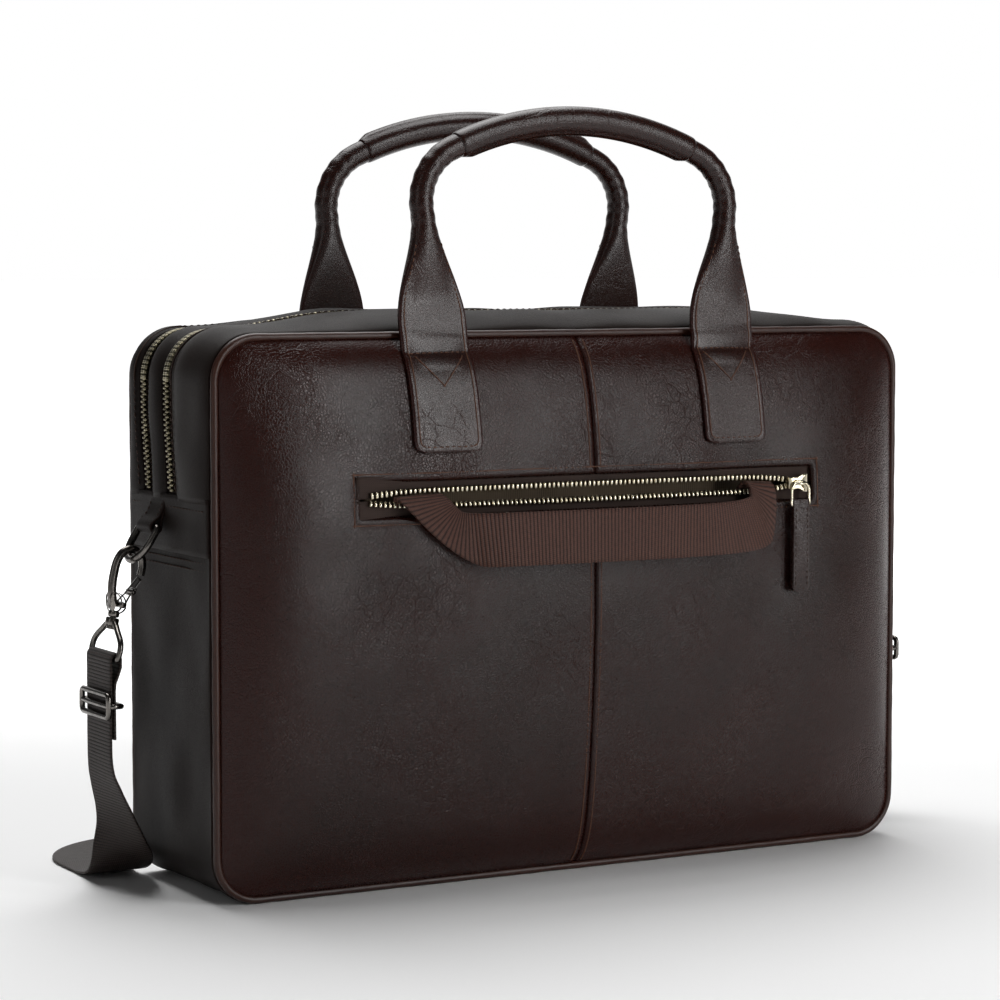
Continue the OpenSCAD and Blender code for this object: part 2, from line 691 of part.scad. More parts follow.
module snap_hook(s)
  at_hook(s) color(gunmetal) {
    difference() {
      union() {
        translate([block_x, 0, gate_z]) rotate([90, 0, 0])
          cylinder(r = block_r, h = fork_t, center = true, $fn = 96);
        translate([block_x, -fork_t / 2, gate_z - 1]) cube([6.5, fork_t, 6]);
      }
      translate([gate_x - 7, -tongue_t / 2 - 0.3, gate_z - 3.5])
        cube([7 + gate_r + 0.4, tongue_t + 0.6, 12]);
    }
    translate([gate_x, 0, gate_z]) rotate([90, 0, 0])
      cylinder(r = pin_r, h = fork_t, center = true, $fn = 96);
    translate([0, 0, -1.6]) cylinder(r = 2.6, h = 3.4, $fn = 96);
    translate([0, 0, -7.6]) cylinder(r = shank_r, h = 7.6, $fn = 96);
    translate([0, 0, -8]) cylinder(r = 2.3, h = 1.6, $fn = 96);
    translate([jaw_x + jaw_r, 0, 7]) cylinder(r = hook_r, h = jaw_z - 7, $fn = 96);
    tube_arc(jaw_x, jaw_z, jaw_r, 0, 180, hook_r);
    translate([jaw_x - jaw_r, 0, jaw_z - nose_l]) cylinder(r = hook_r, h = nose_l, $fn = 96);
  }
module left_snap_hook() snap_hook(-1);
module right_snap_hook() snap_hook(1);

gate_tip_x = jaw_x - jaw_r + 0.5;
gate_tip_z = jaw_z - nose_l - 1.2;
module hook_gate(s)
  at_hook(s) color(gunmetal) difference() {
    union() {
      translate([gate_x, 0, gate_z]) rotate([90, 0, 0])
        cylinder(r = gate_r, h = tongue_t, center = true, $fn = 32);
      translate([gate_x, 0, gate_z])
        rotate([0, atan2(gate_tip_x - gate_x, gate_tip_z - gate_z), 0])
          translate([-1.5, -tongue_t / 2, 0])
            cube([3, tongue_t, norm([gate_tip_x - gate_x, gate_tip_z - gate_z])]);
      translate([(gate_x + gate_tip_x) / 2 - 0.6, 0, (gate_z + gate_tip_z) / 2 + 1]) rotate([90, 0, 0])
        cylinder(r = 1.6, h = fork_t + 2, center = true, $fn = 32);
    }
    translate([gate_x, 0, gate_z]) rotate([90, 0, 0])
      cylinder(r = pin_r + fit_gap, h = 2 * fork_t, center = true, $fn = 32);
  }
module left_hook_gate() hook_gate(-1);
module right_hook_gate() hook_gate(1);

// Loop under the hook that turns on its shank and carries the strap.
module swivel_eye(s)
  at_hook(s) color(gunmetal) difference() {
    union() {
      translate([0, 0, -5.8]) cylinder(r = 3.2, h = 3.8, $fn = 96);
      for (t = [-1, 1]) {
        translate([0, t * eye_neck, -4]) rotate([-t * atan2(eye_half - eye_neck, 4 - eye_shoulder), 0, 0])
          cylinder(r = eye_r, h = norm([eye_half - eye_neck, eye_shoulder - 4]), $fn = 96);
        translate([0, t * eye_half, -eye_l]) cylinder(r = eye_r, h = eye_l - eye_shoulder, $fn = 96);
        for (z = [eye_shoulder, eye_l]) translate([0, t * eye_half, -z]) sphere(eye_r * 1.15, $fn = 96);
      }
      translate([0, 0, -eye_l]) rotate([90, 0, 0])
        cylinder(r = eye_r, h = 2 * eye_half, center = true, $fn = 96);
    }
    translate([0, 0, -12]) cylinder(r = shank_r + fit_gap, h = 14, $fn = 96);
    translate([0, 0, -9.4]) cylinder(r = 2.7, h = 3.2, $fn = 96);
  }
module left_swivel_eye() swivel_eye(-1);
module right_swivel_eye() swivel_eye(1);

// ---------------------------------------------------------------- shoulder strap

fold_x = hook_x + sin(hook_tilt) * eye_l;
fold_z = hook_z - cos(hook_tilt) * eye_l;
fold_r = eye_r + 0.35;
hang_x = fold_x + fold_r + strap_t / 2;
adjuster_h = 13;
adjuster_z = fold_z - 23;
straight_z = 68;
side_step = 22.5;
floor_z = strap_t / 2 + 0.05;
back_y = 132;
turn_r = 46;
tail_x = hang_x - strap_t - 0.25;
tail_l = 40;
fold_rad = fold_r + strap_t / 2;

// Route of the right half, chosen by hand: place, then the direction across the webbing.
// It starts at the end of the doubled tail, goes up over the eye's bar and down to the floor.
tail_and_fold = concat(
  [[tail_x, chain_y, fold_z - tail_l, 0, 1, 0], [tail_x, chain_y, fold_z - 13, 0, 1, 0]],
  [for (a = [180:-30:0]) [fold_x + fold_rad * cos(a), chain_y, fold_z + fold_rad * sin(a), 0, 1, 0]]);
route =
  [[hang_x, chain_y, fold_z, 0, 1, 0], [hang_x, chain_y, fold_z - 20, 0, 1, 0],
   [hang_x, chain_y, straight_z, 0, 1, 0], [hang_x - 3.5, chain_y + 1, 54, 0.1, 1, 0],
   [hang_x - 9, chain_y + 3, 40, 0.25, 1, 0], [hang_x - 13.5, chain_y + 6.5, 28, 0.5, 0.86, 0.1],
   [hang_x - 17, chain_y + 13, 17, 0.85, 0.5, 0.15], [hang_x - 19.5, chain_y + 23, 9, 1, 0.2, 0.08],
   [hang_x - 21.5, chain_y + 37, 3.5, 1, 0.05, 0], [hang_x - side_step, chain_y + 55, floor_z, 1, 0, 0]];
turn = [for (a = [0:11.25:90])
  [hang_x - side_step - turn_r + turn_r * cos(a), back_y - turn_r + turn_r * sin(a),
  floor_z, cos(a), sin(a), 0]];
run = [[100, back_y, floor_z, 0, 1, 0], [0, back_y, floor_z, 0, 1, 0]];

function unit(v) = v / norm(v);
function part3(p, k) = [p[k], p[k + 1], p[k + 2]];
function clamp_at(i) = route[max(0, min(len(route) - 1, i))];
// Catmull-Rom value between stations i and i + 1.
function smooth(i, u) = 0.5 * (2 * clamp_at(i) + u * (clamp_at(i + 1) - clamp_at(i - 1))
  + u * u * (2 * clamp_at(i - 1) - 5 * clamp_at(i) + 4 * clamp_at(i + 1) - clamp_at(i + 2))
  + u * u * u * (3 * clamp_at(i) - clamp_at(i - 1) - 3 * clamp_at(i + 1) + clamp_at(i + 2)));
cuts = 3;
hanging = [for (i = [1:len(route) - 2], k = [0:cuts - 1]) smooth(i, k / cuts)];
half_path = concat(tail_and_fold, hanging, turn, run);
path = concat(half_path, [for (i = [len(half_path) - 2:-1:0]) let (p = half_path[i])
  [-p[0], p[1], p[2], -p[3], p[4], p[5]]]);
stations = len(path);
function tangent(i) = unit(part3(path[min(i + 1, stations - 1)], 0) - part3(path[max(i - 1, 0)], 0));
function across(i) = let (t = tangent(i), w = part3(path[i], 3)) unit(w - t * (w * t));
function corners(i) = let (p = part3(path[i], 0), w = across(i) * strap_w / 2,
  n = cross(tangent(i), across(i)) * strap_t / 2) [p + w + n, p - w + n, p - w - n, p + w - n];

// The whole webbing, swept along its route as one solid.
module shoulder_strap()
  color(webbing) polyhedron(
    points = [for (i = [0:stations - 1]) each corners(i)],
    faces = concat([[3, 2, 1, 0]],
      [for (i = [0:stations - 2], k = [0:3]) let (j = (k + 1) % 4)
        [4 * i + k, 4 * i + j, 4 * i + 4 + j, 4 * i + 4 + k]],
      [[4 * stations - 4, 4 * stations - 3, 4 * stations - 2, 4 * stations - 1]]));

// Three-bar buckle that slides on the webbing.
slot_t = 2 * strap_t + 0.25 + 2 * body_gap;
module strap_adjuster(s)
  side_of(s) translate([hang_x - strap_t / 2 - 0.12, chain_y, adjuster_z]) color(gunmetal) difference() {
    cube([slot_t + 4, strap_w + 6, adjuster_h], center = true);
    cube([slot_t, strap_w + 1, adjuster_h + 2], center = true);
    for (x = [-1, 1], z = [-1, 1]) translate([x * (slot_t / 2 + 1), 0, z * adjuster_h / 4])
      cube([2.1, strap_w - 1, adjuster_h / 4], center = true);
  }
module left_strap_adjuster() strap_adjuster(-1);
module right_strap_adjuster() strap_adjuster(1);

back_panel_left();
back_panel_right();
back_piping();
bottom_gusset();
left_anchor_panel();
right_anchor_panel();
rear_band();
rear_zip_tape_outer();
rear_zip_teeth_outer();
base_board();
padded_back_wall();
divider_lower();
back_pocket_pouch();
back_pocket_tapes();
back_pocket_teeth();
back_pocket_slider();
back_pocket_wire_loop();
back_pocket_pull();
trolley_strap();
back_handle_tabs();
back_handle();
back_handle_wrap();
middle_band();
rear_zip_tape_inner();
rear_zip_teeth_inner();
front_zip_tape_inner();
front_zip_teeth_inner();
divider_upper();
front_panel_upper();
front_piping_upper();
front_band();
front_zip_tape_outer();
front_zip_teeth_outer();
front_handle_tabs();
front_handle();
front_handle_wrap();
front_panel_lower();
front_piping_lower();
front_pocket_zip();
front_pocket_slider();
front_pocket_pull();
rear_main_slider();
rear_main_pull();
front_main_slider();
front_main_pull();
left_chape();
right_chape();
left_d_ring();
right_d_ring();
left_snap_hook();
right_snap_hook();
left_hook_gate();
right_hook_gate();
left_swivel_eye();
right_swivel_eye();
left_strap_adjuster();
right_strap_adjuster();
shoulder_strap();
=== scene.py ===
"""Looks of a leather laptop briefcase with a trolley strap, two handles and a clip-on shoulder strap.

Metres throughout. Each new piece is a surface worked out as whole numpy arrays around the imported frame.
"""

import json
import math

import bpy
import numpy as np
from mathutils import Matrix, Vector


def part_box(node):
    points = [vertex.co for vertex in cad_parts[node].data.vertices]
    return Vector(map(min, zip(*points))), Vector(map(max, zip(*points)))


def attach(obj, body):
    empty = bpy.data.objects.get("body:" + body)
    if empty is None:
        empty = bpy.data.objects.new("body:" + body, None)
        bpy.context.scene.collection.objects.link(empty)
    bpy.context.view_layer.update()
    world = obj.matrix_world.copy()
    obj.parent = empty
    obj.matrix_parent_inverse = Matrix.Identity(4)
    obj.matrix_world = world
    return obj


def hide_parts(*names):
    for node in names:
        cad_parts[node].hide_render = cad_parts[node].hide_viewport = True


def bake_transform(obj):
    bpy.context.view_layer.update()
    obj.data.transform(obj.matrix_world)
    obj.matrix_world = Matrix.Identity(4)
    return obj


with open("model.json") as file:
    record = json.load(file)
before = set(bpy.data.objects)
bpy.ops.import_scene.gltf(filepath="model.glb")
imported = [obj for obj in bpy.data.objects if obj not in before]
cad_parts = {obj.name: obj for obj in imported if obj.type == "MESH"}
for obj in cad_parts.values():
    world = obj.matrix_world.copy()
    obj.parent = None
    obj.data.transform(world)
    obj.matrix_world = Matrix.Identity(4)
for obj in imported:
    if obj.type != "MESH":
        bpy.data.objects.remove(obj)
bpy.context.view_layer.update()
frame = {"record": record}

MM = 0.001

# ------------------------------------------------------------------ places taken from the frame
LOW, HIGH = 0, 1
BODY_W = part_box("bottom_gusset")[HIGH].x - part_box("bottom_gusset")[LOW].x
BODY_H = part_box("rear_band")[HIGH].z
GUSSET_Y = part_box("bottom_gusset")[HIGH].y
FACE_Y = -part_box("back_panel_left")[HIGH].y
BACK_CROWN = -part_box("back_panel_left")[LOW].y - FACE_Y
FRONT_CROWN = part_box("front_panel_lower")[HIGH].y - FACE_Y
CORNER_R = 24 * MM
ZIP_END_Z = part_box("left_anchor_panel")[HIGH].z
ANCHOR_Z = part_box("left_anchor_panel")[LOW].z
REAR_ZIP_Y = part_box("rear_zip_tape_inner")[LOW].y
FRONT_ZIP_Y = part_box("front_zip_tape_inner")[HIGH].y
BAND_EDGES = [(-GUSSET_Y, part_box("rear_band")[HIGH].y),
              (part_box("middle_band")[LOW].y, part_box("middle_band")[HIGH].y),
              (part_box("front_band")[LOW].y, GUSSET_Y)]
RIM_INSET = 3.0 * MM
WINDOW_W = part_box("back_pocket_tapes")[HIGH].x * 2
WINDOW_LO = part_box("back_pocket_tapes")[LOW].z
WINDOW_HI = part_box("back_pocket_tapes")[HIGH].z
FRONT_WIN_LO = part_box("front_pocket_zip")[LOW].z
FRONT_WIN_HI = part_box("front_pocket_zip")[HIGH].z


# ------------------------------------------------------------------ meshes
def quads(nu, nv):
    """Quads of a grid of nu by nv points, counted row by row, turned so that u cross v is outward."""
    i, j = np.meshgrid(np.arange(nu - 1), np.arange(nv - 1), indexing="ij")
    a = i * nv + j
    return np.stack([a, a + nv, a + nv + 1, a + 1], -1)


def unit(v):
    """Vectors scaled to length one."""
    return v / np.maximum(np.linalg.norm(v, axis=-1, keepdims=True), 1e-12)


def grid_normals(points):
    """Unit normals of a grid: its slope along u cross its slope along v."""
    return unit(np.cross(np.gradient(points, axis=0), np.gradient(points, axis=1)))


def shell(points, thickness, keep=None):
    """Closed skin: the grid, a copy of it moved in along its normals, and a wall round every open edge."""
    nu, nv = points.shape[:2]
    cells = quads(nu, nv)
    keep = np.ones((nu - 1, nv - 1), bool) if keep is None else keep
    inner = points - grid_normals(points) * thickness
    n = nu * nv
    padded = np.pad(keep, 1)
    idx = np.arange(n).reshape(nu, nv)
    walls = []
    above, below = padded[1:-1, 1:], padded[1:-1, :-1]
    a, b = idx[:-1, :], idx[1:, :]
    walls.append(np.stack([b, a, a + n, b + n], -1)[above & ~below])
    walls.append(np.stack([a, b, b + n, a + n], -1)[below & ~above])
    right, left = padded[1:, 1:-1], padded[:-1, 1:-1]
    a, b = idx[:, :-1], idx[:, 1:]
    walls.append(np.stack([a, b, b + n, a + n], -1)[right & ~left])
    walls.append(np.stack([b, a, a + n, b + n], -1)[left & ~right])
    outer = cells[keep]
    faces = np.concatenate([outer, outer[:, ::-1] + n] + walls)
    inside = np.zeros(len(faces), int)
    inside[len(outer):2 * len(outer)] = 1
    verts = np.concatenate([points.reshape(-1, 3), inner.reshape(-1, 3)])
    return verts, faces, inside


def walls(n, m, closed=False):
    """Quads between n rings of m points, counted ring by ring."""
    i, j = np.meshgrid(np.arange(n if closed else n - 1), np.arange(m), indexing="ij")
    k, l = (i + 1) % n, (j + 1) % m
    return np.stack([i * m + j, k * m + j, k * m + l, i * m + l], -1).reshape(-1, 4)


def lids(n, m):
    """Fans over the first and the last of n rings of m points, whose two middle points come after the rings.

    A triangle is a quad whose last corner is doubled."""
    j = np.arange(m)
    l = (j + 1) % m
    last = (n - 1) * m
    first_fan = np.stack([n * m + 0 * j, j, l, l], -1)
    last_fan = np.stack([n * m + 1 + 0 * j, last + l, last + j, last + j], -1)
    return np.concatenate([first_fan, last_fan])


def clockwise(faces):
    """Faces with their corners in the opposite order, each from the same first corner."""
    triangle = (faces[:, 2] == faces[:, 3])[:, None]
    return np.where(triangle, faces[:, [0, 2, 1, 1]], faces[:, [0, 3, 2, 1]])


def stacked(rings):
    """Closed skin over rings of points that climb along z, anticlockwise seen from above."""
    n, m = rings.shape[:2]
    verts = np.concatenate([rings.reshape(-1, 3), rings[:1].mean(1), rings[-1:].mean(1)])
    return verts, clockwise(np.concatenate([walls(n, m), lids(n, m)]))


def sweep(centre, across, out, section, closed=False):
    """A section carried along a path: centre + across * a + out * b for each (a, b) of the section.

    The section runs anticlockwise seen along the path, and may differ from station to station."""
    section = np.broadcast_to(section, (len(centre),) + np.shape(section)[-2:])
    rings = (centre[:, None] + across[:, None] * section[..., :1] + out[:, None] * section[..., 1:])
    n, m = rings.shape[:2]
    verts, faces = rings.reshape(-1, 3), walls(n, m, closed)
    if closed:
        return verts, faces
    verts = np.concatenate([verts, rings[:1].mean(1), rings[-1:].mean(1)])
    return verts, np.concatenate([faces, lids(n, m)])


def merged(parts):
    """Several (verts, faces) as one."""
    verts, faces, at = [], [], 0
    for v, f in parts:
        verts.append(v)
        faces.append(f + at)
        at += len(v)
    return np.concatenate(verts), np.concatenate(faces)


def circle(r, n=12, squash=1.0):
    """Points of a circle of radius r, with its second axis scaled by squash."""
    t = np.arange(n) * 2 * np.pi / n
    return np.stack([r * np.cos(t), r * squash * np.sin(t)], -1)


def rounded_box(a, b, n=16, power=4.0):
    """Superellipse with half sizes a and b: |x/a|^power + |y/b|^power = 1."""
    t = (np.arange(n) + 0.5) * 2 * np.pi / n
    c, s = np.cos(t), np.sin(t)
    return np.stack([a * np.sign(c) * np.abs(c) ** (2 / power), b * np.sign(s) * np.abs(s) ** (2 / power)],
                    -1)


def tangents(path, closed=False):
    """Unit directions along a path."""
    if closed:
        return unit(np.roll(path, -1, 0) - np.roll(path, 1, 0))
    return unit(np.gradient(path, axis=0))


def tube(path, radius, up, sides=12, closed=False, squash=1.0):
    """Round bar along a path. radius is one number or one per station; up is roughly the section's
    second axis."""
    path = np.asarray(path, float)
    t = tangents(path, closed)
    across = unit(np.cross(t, np.broadcast_to(up, path.shape)))
    out = np.cross(across, t)
    radius = np.broadcast_to(radius, (len(path),))
    section = circle(1.0, sides, squash)[None] * radius[:, None, None]
    return sweep(path, across, out, section, closed)


def bowed(points, n=24):
    """Smooth curve through points: Catmull-Rom, n values between each two."""
    p = np.asarray(points, float)
    q = np.concatenate([[2 * p[0] - p[1]], p, [2 * p[-1] - p[-2]]])
    u = np.linspace(0, 1, n, endpoint=False)[None, :, None]
    a, b, c, d = q[:-3, None], q[1:-2, None], q[2:-1, None], q[3:, None]
    curve = 0.5 * (2 * b + u * (c - a) + u ** 2 * (2 * a - 5 * b + 4 * c - d) + u ** 3 * (3 * b - a - 3 * c + d))
    return np.concatenate([curve.reshape(-1, p.shape[1]), p[-1:]])


def resampled(path, step):
    """Path cut into equal steps, and the distance along it at each."""
    path = np.asarray(path, float)
    s = np.concatenate([[0], np.cumsum(np.linalg.norm(np.diff(path, axis=0), axis=1))])
    n = max(2, int(round(s[-1] / step)) + 1)
    at = np.linspace(0, s[-1], n)
    return np.stack([np.interp(at, s, path[:, k]) for k in range(path.shape[1])], -1), at


def reversed_order(faces):
    """Faces with their corners listed backwards. Doubled corners come apart, and such a face is later
    dropped."""
    turned = faces[:, ::-1]
    return np.where((turned[:, 0] == turned[:, 1])[:, None], np.roll(turned, -1, 1), turned)


def outward(verts, faces):
    """Faces turned over if the volume that they enclose comes out negative."""
    a, b, c, d = (verts[faces[:, k]] for k in range(4))
    volume = np.einsum("ij,ij->", a, np.cross(b, c)) + np.einsum("ij,ij->", a, np.cross(c, d))
    return faces if volume >= 0 else reversed_order(faces)


def piece(name, mesh, material, body, replaces=(), uv=None, smooth=True, sharp=None, blend=None,
          inside=None, lining=None, burnish=None):
    """A finished object: its mesh data, materials, body (none, baked in world place, when blend is given) and
    the CAD nodes that it stands for.
    """
    verts, faces = mesh[0], outward(mesh[0], mesh[1])
    data = bpy.data.meshes.new(name)
    tri = faces[:, 2] == faces[:, 3]
    data.from_pydata(verts.tolist(), [], [f[:3] if t else f for f, t in zip(faces.tolist(), tri)])
    data.materials.append(material)
    if lining is not None:
        data.materials.append(lining)
        data.polygons.foreach_set("material_index", inside)
    data.polygons.foreach_set("use_smooth", np.full(len(data.polygons), smooth))
    if uv is not None:
        corner = np.zeros(len(data.loops), int)
        data.loops.foreach_get("vertex_index", corner)
        data.uv_layers.new(name="UVMap").data.foreach_set("uv", uv[corner].astype(np.float32).ravel())
    if burnish is not None:
        data.attributes.new("burnish", "FLOAT", "POINT").data.foreach_set("value", burnish.astype(np.float32))
    data.validate()
    if sharp is not None:
        data.set_sharp_from_angle(angle=math.radians(sharp))
    obj = bpy.data.objects.new(name, data)
    bpy.context.scene.collection.objects.link(obj)
    if blend:
        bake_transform(obj)
    else:
        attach(obj, body)
    if replaces:
        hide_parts(*replaces)
    return obj


# ------------------------------------------------------------------ shader groups
class Net:
    """Short way to write nodes: net.add(type, input=value or socket, ...) returns the node."""

    def __init__(self, tree):
        self.tree = tree

    def add(self, kind, props=None, **inputs):
        """A node of this kind. Inputs are named with _ for a space, or i0, i1, ... by number."""
        node = self.tree.nodes.new(kind)
        for key, value in (props or {}).items():
            setattr(node, key, value)
        for key, value in inputs.items():
            numbered = key[0] == "i" and key[1:].isdigit()
            socket = node.inputs[int(key[1:]) if numbered else key.replace("_", " ")]
            if isinstance(value, bpy.types.NodeSocket):
                self.tree.links.new(value, socket)
            else:
                socket.default_value = value
        return node

    def math(self, operation, a, b=0.0, clamp=False):
        """Output of a math node."""
        return self.add("ShaderNodeMath", {"operation": operation, "use_clamp": clamp}, i0=a, i1=b).outputs[0]

    def ramp(self, value, low, high, to_low=0.0, to_high=1.0):
        """The value eased from to_low to to_high while it goes from low to high."""
        props = {"interpolation_type": "SMOOTHSTEP"}
        return self.add("ShaderNodeMapRange", props, Value=value, From_Min=low, From_Max=high, To_Min=to_low,
                        To_Max=to_high).outputs[0]

    def mix(self, factor, a, b):
        """Colour between a and b."""
        node = self.add("ShaderNodeMix", {"data_type": "RGBA"}, i0=factor)
        for k, value in ((6, a), (7, b)):
            if isinstance(value, bpy.types.NodeSocket):
                self.tree.links.new(value, node.inputs[k])
            else:
                node.inputs[k].default_value = value
        return node.outputs[2]

    def give(self, result, **sockets):
        """Link the sockets to a group's outputs of the same names, and return the group's tree."""
        for label, socket in sockets.items():
            self.tree.links.new(socket, result.inputs[label])
        return self.tree


def group(name, inputs, outputs):
    """An empty shader group with named float inputs and outputs, and a Net inside it."""
    tree = bpy.data.node_groups.new(name, "ShaderNodeTree")
    for label, value in inputs.items():
        tree.interface.new_socket(label, in_out="INPUT", socket_type="NodeSocketFloat").default_value = value
    for label in outputs:
        tree.interface.new_socket(label, in_out="OUTPUT", socket_type="NodeSocketFloat")
    net = Net(tree)
    return net, net.add("NodeGroupInput"), net.add("NodeGroupOutput")


def leather_grain():
    """Pebbles (cell walls), pores, long creases and slow tone patches of tanned leather, on Object
    coordinates."""
    net, given, result = group("leather_grain", {"Pebble": 720.0, "Crease": 1.0},
                               ("Height", "Tone", "Crease"))
    place = net.add("ShaderNodeTexCoord").outputs["Object"]
    warp = net.add("ShaderNodeTexNoise", Vector=place, Scale=160.0, Detail=3.0)
    shift = net.add("ShaderNodeVectorMath", {"operation": "SCALE"}, i0=warp.outputs["Color"], Scale=0.0022)
    warped = net.add("ShaderNodeVectorMath", {"operation": "ADD"}, i0=place, i1=shift.outputs[0]).outputs[0]
    cells = net.add("ShaderNodeTexVoronoi", {"feature": "DISTANCE_TO_EDGE"}, Vector=warped,
                    Scale=given.outputs["Pebble"])
    pebble = net.ramp(cells.outputs["Distance"], 0.0, 0.22)
    fine = net.add("ShaderNodeTexNoise", Vector=place, Scale=2400.0, Detail=2.0).outputs["Fac"]
    long_warp = net.add("ShaderNodeTexNoise", Vector=place, Scale=28.0, Detail=4.0)
    long_shift = net.add("ShaderNodeVectorMath", {"operation": "SCALE"}, i0=long_warp.outputs["Color"],
                         Scale=0.03)
    long_place = net.add("ShaderNodeVectorMath", {"operation": "ADD"}, i0=place,
                         i1=long_shift.outputs[0]).outputs[0]
    folds = net.add("ShaderNodeTexVoronoi", {"feature": "DISTANCE_TO_EDGE"}, Vector=long_place, Scale=85.0)
    where = net.add("ShaderNodeTexNoise", Vector=place, Scale=17.0, Detail=2.0).outputs["Fac"]
    patch = net.math("MULTIPLY", net.ramp(where, 0.45, 0.62), given.outputs["Crease"])
    crease = net.math("MULTIPLY", net.ramp(folds.outputs["Distance"], 0.0, 0.035, 1.0, 0.0), patch)
    depth = net.ramp(where, 0.3, 0.7, 0.35, 1.0)
    raised = net.math("MULTIPLY", pebble, depth)
    height = net.math("ADD", raised, net.math("MULTIPLY", fine, 0.35))
    height = net.math("SUBTRACT", height, net.math("MULTIPLY", crease, 1.4))
    slow = net.add("ShaderNodeTexNoise", Vector=place, Scale=9.0, Detail=4.0, Roughness=0.6).outputs["Fac"]
    tone = net.math("ADD", net.math("MULTIPLY", slow, 0.75), net.math("MULTIPLY", pebble, 0.25))
    return net.give(result, Height=height, Tone=tone, Crease=crease)


def webbing_weave():
    """Ribs across a webbing, each plaited from small slanted floats, on UV in metres (u along, v across)."""
    net, given, result = group("webbing_weave", {"Rib": 2.0 * MM, "Float": 1.1 * MM},
                               ("Height", "Tone"))
    uv = net.add("ShaderNodeSeparateXYZ", Vector=net.add("ShaderNodeUVMap").outputs["UV"])
    u = net.math("DIVIDE", uv.outputs["X"], given.outputs["Rib"])
    v = net.math("DIVIDE", uv.outputs["Y"], given.outputs["Float"])
    rib = net.math("ABSOLUTE", net.math("SINE", net.math("MULTIPLY", u, math.pi)))
    odd = net.math("MULTIPLY", net.math("FLOOR", u), 0.5)
    slant = net.math("ADD", net.math("ADD", v, odd), net.math("MULTIPLY", net.math("FRACT", u), 0.5))
    plait = net.math("ABSOLUTE", net.math("SINE", net.math("MULTIPLY", slant, math.pi)))
    height = net.math("MULTIPLY", net.math("POWER", rib, 0.6),
                      net.math("ADD", net.math("MULTIPLY", plait, 0.45), 0.55))
    fuzz = net.add("ShaderNodeTexNoise", Vector=net.add("ShaderNodeTexCoord").outputs["Object"], Scale=900.0,
                   Detail=3.0)
    tone = net.math("ADD", net.math("MULTIPLY", height, 0.7), net.math("MULTIPLY", fuzz.outputs["Fac"], 0.4))
    return net.give(result, Height=height, Tone=tone)


def cloth_weave():
    """Plain or twill cloth on Object coordinates: two crossed sets of ridges, and a slow tone."""
    net, given, result = group("cloth_weave", {"Threads": 1400.0, "Slant": 1.0}, ("Height", "Tone"))
    place = net.add("ShaderNodeTexCoord").outputs["Object"]
    part = net.add("ShaderNodeSeparateXYZ", Vector=place)
    down = net.math("ADD", part.outputs["Z"], part.outputs["Y"])
    a = net.math("ADD", part.outputs["X"], net.math("MULTIPLY", down, given.outputs["Slant"]))
    turns = net.math("MULTIPLY", given.outputs["Threads"], 2.2)
    warp, weft = (net.math("ABSOLUTE",
                           net.math("SINE", net.math("MULTIPLY", way, turns))) for way in (a, down))
    height = net.math("MAXIMUM", warp, net.math("MULTIPLY", weft, 0.6))
    slow = net.add("ShaderNodeTexNoise", Vector=place, Scale=60.0, Detail=4.0).outputs["Fac"]
    tone = net.math("ADD", net.math("MULTIPLY", height, 0.5), net.math("MULTIPLY", slow, 0.5))
    return net.give(result, Height=height, Tone=tone)


def metal_wear():
    """Fine scratches and slow stains of handled metal, on Object coordinates."""
    net, given, result = group("metal_wear", {"Scratch": 900.0}, ("Height", "Tone"))
    place = net.add("ShaderNodeTexCoord").outputs["Object"]
    stretched = net.add("ShaderNodeMapping", Vector=place)
    stretched.inputs["Scale"].default_value = (1.0, 1.0, 0.15)
    fine = net.add("ShaderNodeTexNoise", Vector=stretched.outputs[0], Scale=given.outputs["Scratch"],
                   Detail=4.0)
    slow = net.add("ShaderNodeTexNoise", Vector=place, Scale=140.0, Detail=3.0)
    tone = net.math("ADD", net.math("MULTIPLY", fine.outputs["Fac"], 0.4),
                    net.math("MULTIPLY", slow.outputs["Fac"], 0.6))
    return net.give(result, Height=fine.outputs["Fac"], Tone=tone)


GRAIN, WEAVE, CLOTH, WEAR = leather_grain(), webbing_weave(), cloth_weave(), metal_wear()


def rgb(r, g, b):
    """Display colour (0 to 255) as linear."""
    c = np.array([r, g, b]) / 255
    return tuple(np.where(c <= 0.04045, c / 12.92, ((c + 0.055) / 1.055) ** 2.4).tolist()) + (1.0,)


def material(name, tree, dark, light, rough, bump, depth, tone=(0.3, 0.7), metallic=0.0, worn=None,
             settings=None,
             sheen=0.0, specular=0.4):
    """A Principled material whose colour, roughness and bump come from one of the groups."""
    mat = bpy.data.materials.new(name)
    mat.use_nodes = True
    net = Net(mat.node_tree)
    shader = mat.node_tree.nodes["Principled BSDF"]
    node = net.add("ShaderNodeGroup", {"node_tree": tree})
    for key, value in (settings or {}).items():
        node.inputs[key].default_value = value
    shade = net.ramp(node.outputs["Tone"], *tone)
    colour = net.mix(shade, dark, light)
    if worn:
        edge = net.add("ShaderNodeAttribute", {"attribute_name": "burnish"}).outputs["Fac"]
        colour = net.mix(edge, colour, worn)
        crease = net.math("MULTIPLY", node.outputs["Crease"], 0.35)
        colour = net.mix(crease, colour, light)
    mat.node_tree.links.new(colour, shader.inputs["Base Color"])
    mat.node_tree.links.new(net.ramp(node.outputs["Tone"], 0.2, 0.8, rough[1], rough[0]),
                            shader.inputs["Roughness"])
    relief = net.add("ShaderNodeBump", Strength=bump, Distance=depth, Height=node.outputs["Height"])
    mat.node_tree.links.new(relief.outputs[0], shader.inputs["Normal"])
    shader.inputs["Metallic"].default_value = metallic
    shader.inputs["Specular IOR Level"].default_value = specular
    shader.inputs["Sheen Weight"].default_value = sheen
    return mat


